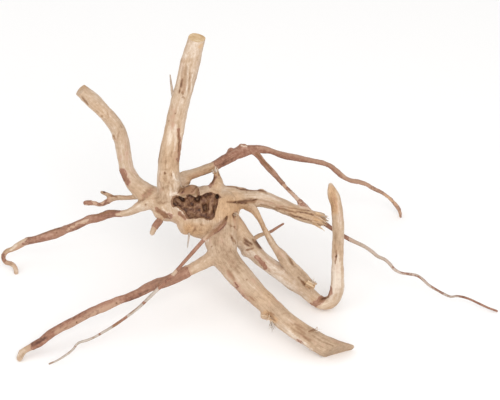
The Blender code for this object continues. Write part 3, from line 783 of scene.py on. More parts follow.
class MarkKind(Enum):
    """Kinds of mark on the wood, each with what it does there."""

    CRACK = Touch(relief=-0.6, dark=0.80, tapers=True)
    CLEFT = Touch(relief=-2.0, dark=0.9, tapers=True)
    HOLE = Touch(relief=-1.4, dark=1.0)
    # Painted shade: a groove is darkened as well as sunk
    GROOVE = Touch(relief=-0.8, dark=0.25, tone=-0.25, tapers=True)
    # Painted highlight: a ridge is lightened as well as raised
    RIDGE = Touch(relief=0.9, tone=0.5, tapers=True)
    STAIN = Touch(relief=-0.1, dark=0.36, tone=-0.3, tapers=True)
    BARK = Touch(bark=0.9)
    FLUSH = Touch(bark=0.3)
    PEEL = Touch(bark=-1.0, tone=0.15, gold=0.15)
    PALE = Touch(tone=0.6)
    DULL = Touch(tone=-0.7)
    GOLD = Touch(gold=0.8)

    def __call__(self, width: float, strength: float, *pixels: Spot) -> "Mark":
        """Makes a mark of this kind from its width and its places in the photo's pixels."""
        spots = tuple(PICTURE.spot(*pixel) for pixel in pixels)
        return Mark(self, round(PICTURE.pixel * width, 1), strength, spots)


@dataclass(frozen=True)
class Mark:
    """A mark that shows from the front: a line or a spot, right and up in the front picture.

    Attributes:
        kind: What kind of mark it is.
        width: Its full width.
        strength: How strong it is.
        spots: The points that it runs through, or the middle of a round one.
    """

    kind: MarkKind
    width: float
    strength: float
    spots: tuple[Spot, ...]

    def cover(self, seen: Array) -> Array:
        """How much of the mark is at each point of the front picture.

        Args:
            seen: Right and up of each point.

        Returns:
            From 0 outside the mark to its strength in its middle.
        """
        spots = [np.array(spot) for spot in self.spots]
        lengths = [np.linalg.norm(end - start) for start, end in zip(spots, spots[1:])]
        gap = np.full(len(seen), np.inf)
        along = np.zeros(len(seen))
        for k, (start, end) in enumerate(zip(spots, spots[1:] or spots)):
            run = end - start
            share = np.clip((seen - start) @ run / max(run @ run, 1e-9), 0.0, 1.0)
            beside = np.linalg.norm(seen - start - share[:, None] * run, axis=1)
            closer = beside < gap
            gap[closer] = beside[closer]
            if lengths:
                along[closer] = (sum(lengths[:k]) + share[closer] * lengths[k]) / sum(lengths)
        width = self.width
        if lengths and self.kind.value.tapers:
            width = width * (TAPER_END + (1.0 - TAPER_END) * np.sqrt(4.0 * along * (1.0 - along)))
        return self.strength * ramp(gap - 0.5 * width, MARK_FADE, -MARK_CORE * self.width)


class Skin:
    """A mesh read as arrays, in millimetres: its points, their normals and its edges."""

    def __init__(self, piece: Piece) -> None:
        """Reads a piece's mesh."""
        self.points = read_column(piece.data.vertices, "co", 3) / MM
        self.normals = read_column(piece.data.vertices, "normal", 3)
        self.edges = read_column(piece.data.edges, "vertices", 2)
        self.neighbours = np.bincount(self.edges.ravel(), minlength=len(self.points))

    def around(self, values: Array) -> Array:
        """Mean of each point's neighbours."""
        one, other = self.edges.T
        total = np.bincount(one, values[other], len(values))
        total += np.bincount(other, values[one], len(values))
        return total / np.maximum(self.neighbours, 1)

    def spread(self, values: Array, rounds: int) -> Array:
        """Softens values over the skin, by so many rounds of neighbours."""
        for _ in range(rounds):
            values = 0.5 * values + 0.5 * self.around(values)
        return values

    def hollowness(self, rounds: int) -> Array:
        """How far each point lies below its softened surroundings, in millimetres."""
        soft = np.stack([self.spread(column, rounds) for column in self.points.T], axis=1)
        return ((soft - self.points) * self.normals).sum(1)

    def seen_from_front(self) -> tuple[Array, Array]:
        """Finds what the eye of the front picture sees.

        Returns:
            Right, up and near of each point, and from 0 to 1 how well each is seen.
        """
        seen = PICTURE.read(self.points)
        facing = self.normals @ np.array(PICTURE.axes[2])
        cells = np.round(seen[:, :2] / SIGHT_CELL).astype(int)
        cells -= cells.min(0)
        cell = cells[:, 0] * (cells[:, 1].max() + 1) + cells[:, 1]
        nearest = np.full(cell.max() + 1, -np.inf)
        np.maximum.at(nearest, cell, seen[:, 2])
        open_to_eye = ramp(nearest[cell] - seen[:, 2], SIGHT_DEPTH, 0.5 * SIGHT_DEPTH)
        return seen, open_to_eye * ramp(facing, *SIGHT_FACING)


class Growth:
    """Where a skin's points lie along its limbs, and how much each limb has a share in them."""

    def __init__(self, skin: Skin, limbs: list[Limb]) -> None:
        """Locates the skin along each limb.

        Args:
            skin: The skin.
            limbs: The limbs that it grew around.
        """
        self.skin = skin
        self.limbs = limbs
        self.places = []
        gaps = []
        for limb in limbs:
            index, reach, place = limb.line.locate(skin.points)
            gaps.append(reach - limb.line.radii[index])
            self.places.append(place)
        gaps = np.array(gaps)
        shares = np.exp((gaps.min(0) - gaps) / JOINT_SOFTNESS)
        self.shares = shares / shares.sum(0)

    def blend(self, measure: Callable[[Limb, Array], Array]) -> Array:
        """Mixes a pattern of each limb by the limb's share.

        Args:
            measure: Gives, for a limb and the places along it, one number each.

        Returns:
            One number for each point of the skin.
        """
        total = np.zeros(len(self.skin.points))
        for limb, place, share in zip(self.limbs, self.places, self.shares):
            some = share > LEAST_SHARE
            if some.any():
                total[some] += share[some] * measure(limb, place[some])
        return total

    def setting(self, name: str) -> Array:
        """Mixes a setting of the limbs, such as their tone."""
        return self.blend(lambda limb, place: np.full(len(place), getattr(limb, name)))

    def profile(self, name: str) -> Array:
        """Mixes a profile along the limbs, such as their bark."""
        return self.blend(lambda limb, place: limb.amount(getattr(limb, name), place[:, 0]))

    def grain(self, length: float, width: float, seed: int) -> Array:
        """Noise that runs along the limbs, of this length along them and width across."""
        return self.blend(lambda limb, place: cloud(place, (length, width), seed))

    def fibre(self) -> Array:
        """Place along and across the limb that has most share in each point."""
        chief = self.shares.argmax(0)
        return np.array(self.places)[chief, np.arange(len(chief))]


@dataclass
class WearAndShade:
    """What has been done to a skin, painted shade and highlight too: relief in millimetres outwards, and
    shares of each finish.
    """

    relief: Array
    bark: Array
    dark: Array
    tone: Array
    gold: Array
    grey: Array
    hollow: Array

    @classmethod
    def none(cls, count: int) -> "WearAndShade":
        """Makes an untouched skin of so many points."""
        return cls(*(np.zeros(count) for _ in fields(cls)))


@dataclass(frozen=True)
class Layer:
    """A layer of noise in the wood.

    Attributes:
        size: Size of its blotches, or their length along the limbs and their width across.
        shift: What sets it off from the other layers.
        relief: How high it stands, in millimetres.
        tone: How much it lightens the wood.
        bark: How much it adds to the bark.
    """

    size: float | Spot
    shift: int
    relief: float = 0.0
    tone: float = 0.0
    bark: float = 0.0


COARSE_GRAIN = Layer((34.0, 3.4), 1, relief=0.30, tone=0.35)
FINE_GRAIN = Layer((16.0, 1.7), 2, relief=0.12, tone=0.30)
CRACKED_PATCHES = Layer(21.0, 3)
SWELLING = Layer(11.0, 4, relief=0.40)
DIMPLES = Layer(4.5, 5, relief=0.20)
FADED_PATCHES = Layer(24.0, 6, tone=0.45)
BARK_GRAIN = Layer((22.0, 4.5), 7, bark=0.42)
BARK_CRUMBS = Layer(3.2, 8, bark=0.20)
ROTTED_FOLDS = Layer(6.5, 9, relief=0.4, tone=0.15)
BARK_WRINKLES = Layer((7.0, 2.2), 10, relief=0.20)
GOLD_PATCHES = Layer(38.0, 11)
ROTTED_CRUMBS = Layer(2.8, 12, relief=0.30, tone=0.30)
MARK_BENDS = (Layer(5.0, 20, relief=0.6), Layer(5.0, 21, relief=0.6))
MARK_SHAKES = (Layer(2.0, 30, relief=0.3), Layer(2.0, 31, relief=0.3))
MARK_RAGGED = 1.3


@dataclass
class Carver:
    """Weathers a skin, with painted shade and highlight: its grain, bark, marks, scars and hollow.

    Attributes:
        limbs: The limbs under the skin.
        marks: The marks that show from the front.
        hollow: The hollow cut into this wood, if there is one.
        seed: A number that sets off this skin's noise and scars.
    """

    limbs: list[Limb]
    marks: list[Mark]
    hollow: "Hollow | None" = None
    seed: int = 0

    def weather(self, skin: Skin) -> tuple[WearAndShade, Growth]:
        """Works out all that is done to a skin.

        Args:
            skin: The skin.

        Returns:
            What is done to it, and how it lies along its limbs.
        """
        growth = Growth(skin, self.limbs)
        wear_and_shade = WearAndShade.none(len(skin.points))
        self.open_grain(skin, growth, wear_and_shade)
        self.leave_bark(skin, growth, wear_and_shade)
        self.draw_marks(skin, wear_and_shade)
        self.scar(growth, wear_and_shade)
        self.rot_hollow(skin, wear_and_shade)
        self.cover_with_bark(growth, wear_and_shade)
        # Painted shade: points that lie below their softened surroundings, in dents and creases, are
        # darkened
        wear_and_shade.dark += DENT_SHADE * ramp(skin.hollowness(DENT_ROUNDS), *DENT_DEPTHS)
        wear_and_shade.dark = np.clip(wear_and_shade.dark, 0.0, 1.0)
        return wear_and_shade, growth

    def noise(self, skin: Skin, layer: Layer) -> Array:
        """One layer of noise through the wood."""
        return cloud(skin.points, layer.size, self.seed + layer.shift)

    def grain(self, growth: Growth, layer: Layer) -> Array:
        """One layer of noise along the limbs."""
        return growth.grain(*layer.size, self.seed + layer.shift)

    def open_grain(self, skin: Skin, growth: Growth, wear_and_shade: WearAndShade) -> None:
        """Gives the wood its long grain, its soft unevenness and its fine drying cracks."""
        coarse = self.grain(growth, COARSE_GRAIN)
        fine = self.grain(growth, FINE_GRAIN)
        opened = growth.setting("cracked")
        patch = self.noise(skin, CRACKED_PATCHES)
        wear_and_shade.relief += opened * (COARSE_GRAIN.relief * coarse + FINE_GRAIN.relief * fine)
        wear_and_shade.relief += SWELLING.relief * self.noise(skin, SWELLING)
        wear_and_shade.relief += DIMPLES.relief * self.noise(skin, DIMPLES)
        crack = ramp(np.abs(coarse), *CRACK_LINES) * ramp(patch, *CRACK_PATCHES) * opened
        wear_and_shade.relief -= CRACK_DEPTH * crack
        wear_and_shade.dark += CRACK_DARK * crack
        faded = FADED_PATCHES.tone * self.noise(skin, FADED_PATCHES)
        wear_and_shade.tone += COARSE_GRAIN.tone * coarse + FINE_GRAIN.tone * fine + faded
        wear_and_shade.tone += growth.setting("tone")
        wear_and_shade.gold += GOLD_MOST * ramp(self.noise(skin, GOLD_PATCHES), *GOLD_RISE)

    def leave_bark(self, skin: Skin, growth: Growth, wear_and_shade: WearAndShade) -> None:
        """Leaves bark and greyness where each limb has them."""
        wear_and_shade.bark += growth.profile("bark")
        wear_and_shade.grey += growth.profile("grey")
        wear_and_shade.bark += BARK_GRAIN.bark * self.grain(growth, BARK_GRAIN)
        wear_and_shade.bark += BARK_CRUMBS.bark * self.noise(skin, BARK_CRUMBS)

    def draw_marks(self, skin: Skin, wear_and_shade: WearAndShade) -> None:
        """Draws the marks that show from the front."""
        if not self.marks:
            return
        seen, open_to_eye = skin.seen_from_front()
        wobble = [
            bend.relief * self.noise(skin, bend) + shake.relief * self.noise(skin, shake)
            for bend, shake in zip(MARK_BENDS, MARK_SHAKES)
        ]
        seen = seen[:, :2] + np.stack(wobble, axis=1)
        ragged = seen + MARK_RAGGED * np.stack(wobble, axis=1)
        for mark in self.marks:
            touch = mark.kind.value
            cover = mark.cover(ragged if touch.bark else seen) * open_to_eye
            wear_and_shade.relief += touch.relief * cover
            wear_and_shade.bark += touch.bark * cover
            wear_and_shade.dark += touch.dark * cover
            wear_and_shade.tone += touch.tone * cover
            wear_and_shade.gold += touch.gold * cover

    def scar(self, growth: Growth, wear_and_shade: WearAndShade) -> None:
        """Opens cracks and worm holes along the sides that the front doesn't show."""
        draw = np.random.default_rng(SCAR_SEED + self.seed)
        eye = np.array(PICTURE.axes[2])
        for limb, place, share in zip(growth.limbs, growth.places, growth.shares):
            length = limb.line.travel[-1]
            for _ in range(int(length / SCAR_SPACING)):
                along = draw.uniform(*SCAR_PLACES) * length
                angle = draw.uniform(-math.pi, math.pi)
                run = draw.uniform(*SCAR_LENGTHS)
                width = draw.uniform(*SCAR_WIDTHS)
                at = int(np.searchsorted(limb.line.travel, along))
                outward = math.cos(angle) * limb.line.normals[at]
                outward = outward + math.sin(angle) * limb.line.asides[at]
                if outward @ eye > SCAR_FACING:
                    continue
                turn = np.arctan2(place[:, 2], place[:, 1]) - angle
                turn = (turn + math.pi) % math.tau - math.pi
                beside = turn * limb.line.radii[at]
                beyond = np.maximum(np.abs(place[:, 0] - along) - run / 2, 0.0)
                gap = np.hypot(beyond, beside)
                cover = share * ramp(gap, SCAR_EDGE[0] * width, SCAR_EDGE[1] * width)
                wear_and_shade.relief -= SCAR_DEPTH * cover
                wear_and_shade.dark += SCAR_DARK * cover

    def rot_hollow(self, skin: Skin, wear_and_shade: WearAndShade) -> None:
        """Folds the rotted floor and walls of the hollow and marks them as rotted heart, lightening the
        folds partly as painted highlight and darkening the sunken parts with painted shade.
        """
        if not self.hollow:
            return
        seen = PICTURE.read(skin.points)
        wear_and_shade.hollow = ramp(self.hollow.inside(seen), *HOLLOW_RIM)
        # Folds and crumbs stand up and are lighter where they do: partly the rot's own mottling, partly
        # painted highlight
        folds = 1.0 - FOLD_SHARP * np.abs(self.noise(skin, ROTTED_FOLDS))
        crumbs = 1.0 - FOLD_SHARP * np.abs(self.noise(skin, ROTTED_CRUMBS))
        raised = ROTTED_FOLDS.relief * folds + ROTTED_CRUMBS.relief * crumbs
        wear_and_shade.relief += wear_and_shade.hollow * (raised - ROTTED_SINK)
        # Painted shade: the sunken parts of the hollow are darkened
        sunk_shade = ramp(skin.hollowness(FOLD_ROUNDS), *FOLD_DEPTHS)
        rotted = ROTTED_FOLDS.tone * folds + ROTTED_CRUMBS.tone * crumbs - FOLD_SHADE * sunk_shade
        rotted = rotted + ROTTED_LIGHT + ROTTED_GRAIN * wear_and_shade.tone
        wear_and_shade.tone = wear_and_shade.tone * (1.0 - wear_and_shade.hollow) + wear_and_shade.hollow * rotted
        wear_and_shade.dark *= 1.0 - ROTTED_CLEAR * wear_and_shade.hollow
        wear_and_shade.bark *= 1.0 - wear_and_shade.hollow

    def cover_with_bark(self, growth: Growth, wear_and_shade: WearAndShade) -> None:
        """Raises the bark over the wood, with a thin wrinkled face."""
        thick = ramp(wear_and_shade.bark, *BARK_EDGE)
        wrinkles = self.grain(growth, BARK_WRINKLES)
        wear_and_shade.relief += thick * (BARK_THICKNESS + BARK_WRINKLES.relief * wrinkles)


@dataclass
class WoodPiece:
    """A piece of the root's wood as it is shown.

    Attributes:
        piece: Its mesh.
        carver: What its skin is weathered with.
    """

    piece: Piece
    carver: Carver

    def carve(self) -> None:
        """Pushes the skin in and out by its relief."""
        skin = Skin(self.piece)
        wear_and_shade, _ = self.carver.weather(skin)
        place_points(self.piece, skin.points + skin.normals * wear_and_shade.relief[:, None])

    def colour(self, *materials: bpy.types.Material) -> None:
        """Leaves on the mesh what the materials read, and gives it them.

        Args:
            *materials: The finishes, the root's own skin first.
        """
        skin = Skin(self.piece)
        wear_and_shade, growth = self.carver.weather(skin)
        for name in SHARES:
            self.leave(name, "FLOAT", "value", getattr(wear_and_shade, name))
        self.leave("fibre", "FLOAT_VECTOR", "vector", growth.fibre() * MM)
        for material in materials:
            self.piece.data.materials.append(material)

    def leave(self, name: str, kind: str, key: str, values: Array) -> None:
        """Stores one attribute on the mesh's points."""
        layer = self.piece.data.attributes.new(name, kind, "POINT")
        layer.data.foreach_set(key, values.astype(np.float32).ravel())

    def mount(self) -> None:
        """Shades it smooth, sharp where its faces meet at a steep angle, and makes it ride with the root.
        """
        pick(self.piece)
        bpy.ops.object.shade_smooth_by_angle(angle=SMOOTH_ANGLE)
        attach(self.piece, "root")


# What limbs of a kind share
THIN_ROOT = {"ridge": 0.06, "twist": 0.06, "knobbly": 0.12, "cracked": 0.6}
FINE_TWIG = {"facets": 12, "spacing": 1.6}
HAIR_ROOT = {"facets": 10, "ridge": 0.0, "knobbly": 0.16}
SLIVER = {"facets": 8, "ridge": 0.0, "knobbly": 0.16}

CROWN = Limb(
    "crown_limb",
    CROWN_LIMB,
    ridges=4,
    ridge=0.04,
    cut=SawCut(CROWN_CUT, CROWN_CUT_FACES, fresh=True),
    cracked=0.6,
    tone=0.1,
)
LEFT = Limb("left_limb", LEFT_LIMB, ridge=0.03, cut=SawCut(LEFT_CUT, LEFT_CUT_FACES), cracked=0.5)
HEEL = Limb(
    "heel_limb",
    HEEL_LIMB,
    ridges=4,
    ridge=0.03,
    twist=0.01,
    cut=SawCut(HEEL_CUT, HEEL_CUT_FACES),
    cracked=0.15,
    tone=-0.15,
)
HOOK = Limb("hook_limb", HOOK_LIMB, ridge=0.03, cracked=0.5, tone=0.25)
SPLIT = Limb("split_limb", SPLIT_LIMB, ridges=5, ridge=0.06, twist=0.01, cracked=1.6)
STRIP = Limb("torn_strip", TORN_STRIP, ridges=2, ridge=0.12, cracked=1.6)
LEFT_THIN = Limb(
    "left_root",
    LEFT_ROOT,
    **THIN_ROOT,
    bark=((44.0, 0.0), (52.0, 0.75), (60.0, 1.0), (140.0, 1.0), (152.0, 0.55), (168.0, 0.25),
          (178.0, 0.3), (186.0, 0.36), (194.0, 0.25)),
)
FRONT_THIN = Limb(
    "front_root",
    FRONT_ROOT,
    **THIN_ROOT,
    bark=((36.0, 0.0), (44.0, 0.95), (100.0, 1.0), (112.0, 0.8), (165.0, 0.78), (176.0, 0.95),
          (190.0, 1.0), (197.0, 0.3), (205.0, 0.1)),
)
BACK_THIN = Limb(
    "back_root",
    BACK_ROOT,
    **THIN_ROOT,
    bark=((40.0, 0.0), (46.0, 1.05), (150.0, 1.0), (225.0, 0.85), (255.0, 0.55), (286.0, 0.35)),
)
BACK_FORK = Limb(
    "back_root_fork",
    BACK_ROOT_FORK,
    **FINE_TWIG,
    bark=((0.0, 1.0), (42.0, 1.0), (46.0, 0.3), (64.0, 0.3), (70.0, 0.8), (78.0, 0.7)),
)
SPUR_TWIG = Limb("spur", SPUR, **FINE_TWIG)
PINK_TWIG = Limb("twig", TWIG, **FINE_TWIG, bark=((10.0, 0.05), (24.0, 0.3), (80.0, 0.36)))
PRONG = Limb("twig_prong", TWIG_PRONG, **FINE_TWIG, bark=((0.0, 0.3), (20.0, 0.36)))
STUB_TWIG = Limb("stub", STUB, **FINE_TWIG, bark=((13.0, 0.2), (16.0, 1.0), (25.0, 0.9), (29.0, 0.1)))

THICK_LIMBS = [
    CROWN, LEFT, HEEL, HOOK, SPLIT, STRIP, LEFT_THIN, FRONT_THIN, BACK_THIN, BACK_FORK,
    SPUR_TWIG, PINK_TWIG, PRONG, STUB_TWIG,
]
SPLINTERS = [
    Limb("splinter", list(route), facets=8, spacing=1.5, cracked=2.0)
    for route in (*SPLIT_END_SPLINTERS, *STRIP_END_SPLINTERS)
]

HAIRS = [
    Limb(
        "front_hair_root",
        FRONT_HAIR,
        **HAIR_ROOT,
        marked=True,
        bark=((4.0, 0.5), (20.0, 0.45), (25.0, 0.1), (33.0, 0.1), (37.0, 0.9), (69.0, 0.9),
              (71.5, 0.1), (75.0, 0.1), (77.0, 0.9), (91.0, 0.9), (94.0, 0.05), (108.0, 0.1),
              (110.5, 0.6), (113.0, 0.1), (128.0, 0.1), (131.0, 0.9), (143.0, 0.9), (147.0, 0.0),
              (156.0, 0.0), (158.0, 0.6), (161.0, 0.0), (180.0, 0.0), (182.0, 0.6), (186.0, 0.0)),
        grey=((88.0, 0.1), (96.0, 0.8), (212.0, 0.8)),
    ),
    Limb(
        "right_hair_root",
        RIGHT_HAIR,
        **HAIR_ROOT,
        bark=((12.0, 1.0), (26.0, 0.8), (40.0, 0.35), (120.0, 0.35), (150.0, 0.6), (192.0, 0.9)),
        grey=((20.0, 0.0), (50.0, 0.5), (192.0, 0.8)),
    ),
    Limb("hook_twig", HOOK_TWIG, **HAIR_ROOT, bark=((10.0, 0.05), (20.0, 0.1), (25.0, 0.8), (38.0, 0.9))),
    Limb("chin_spike", CHIN_SPIKE, **SLIVER, grey=((0.0, 0.5), (16.0, 0.9))),
    Limb("crown_splinter", CROWN_SPLINTER, **SLIVER, grey=((0.0, 0.2), (30.0, 0.6))),
]

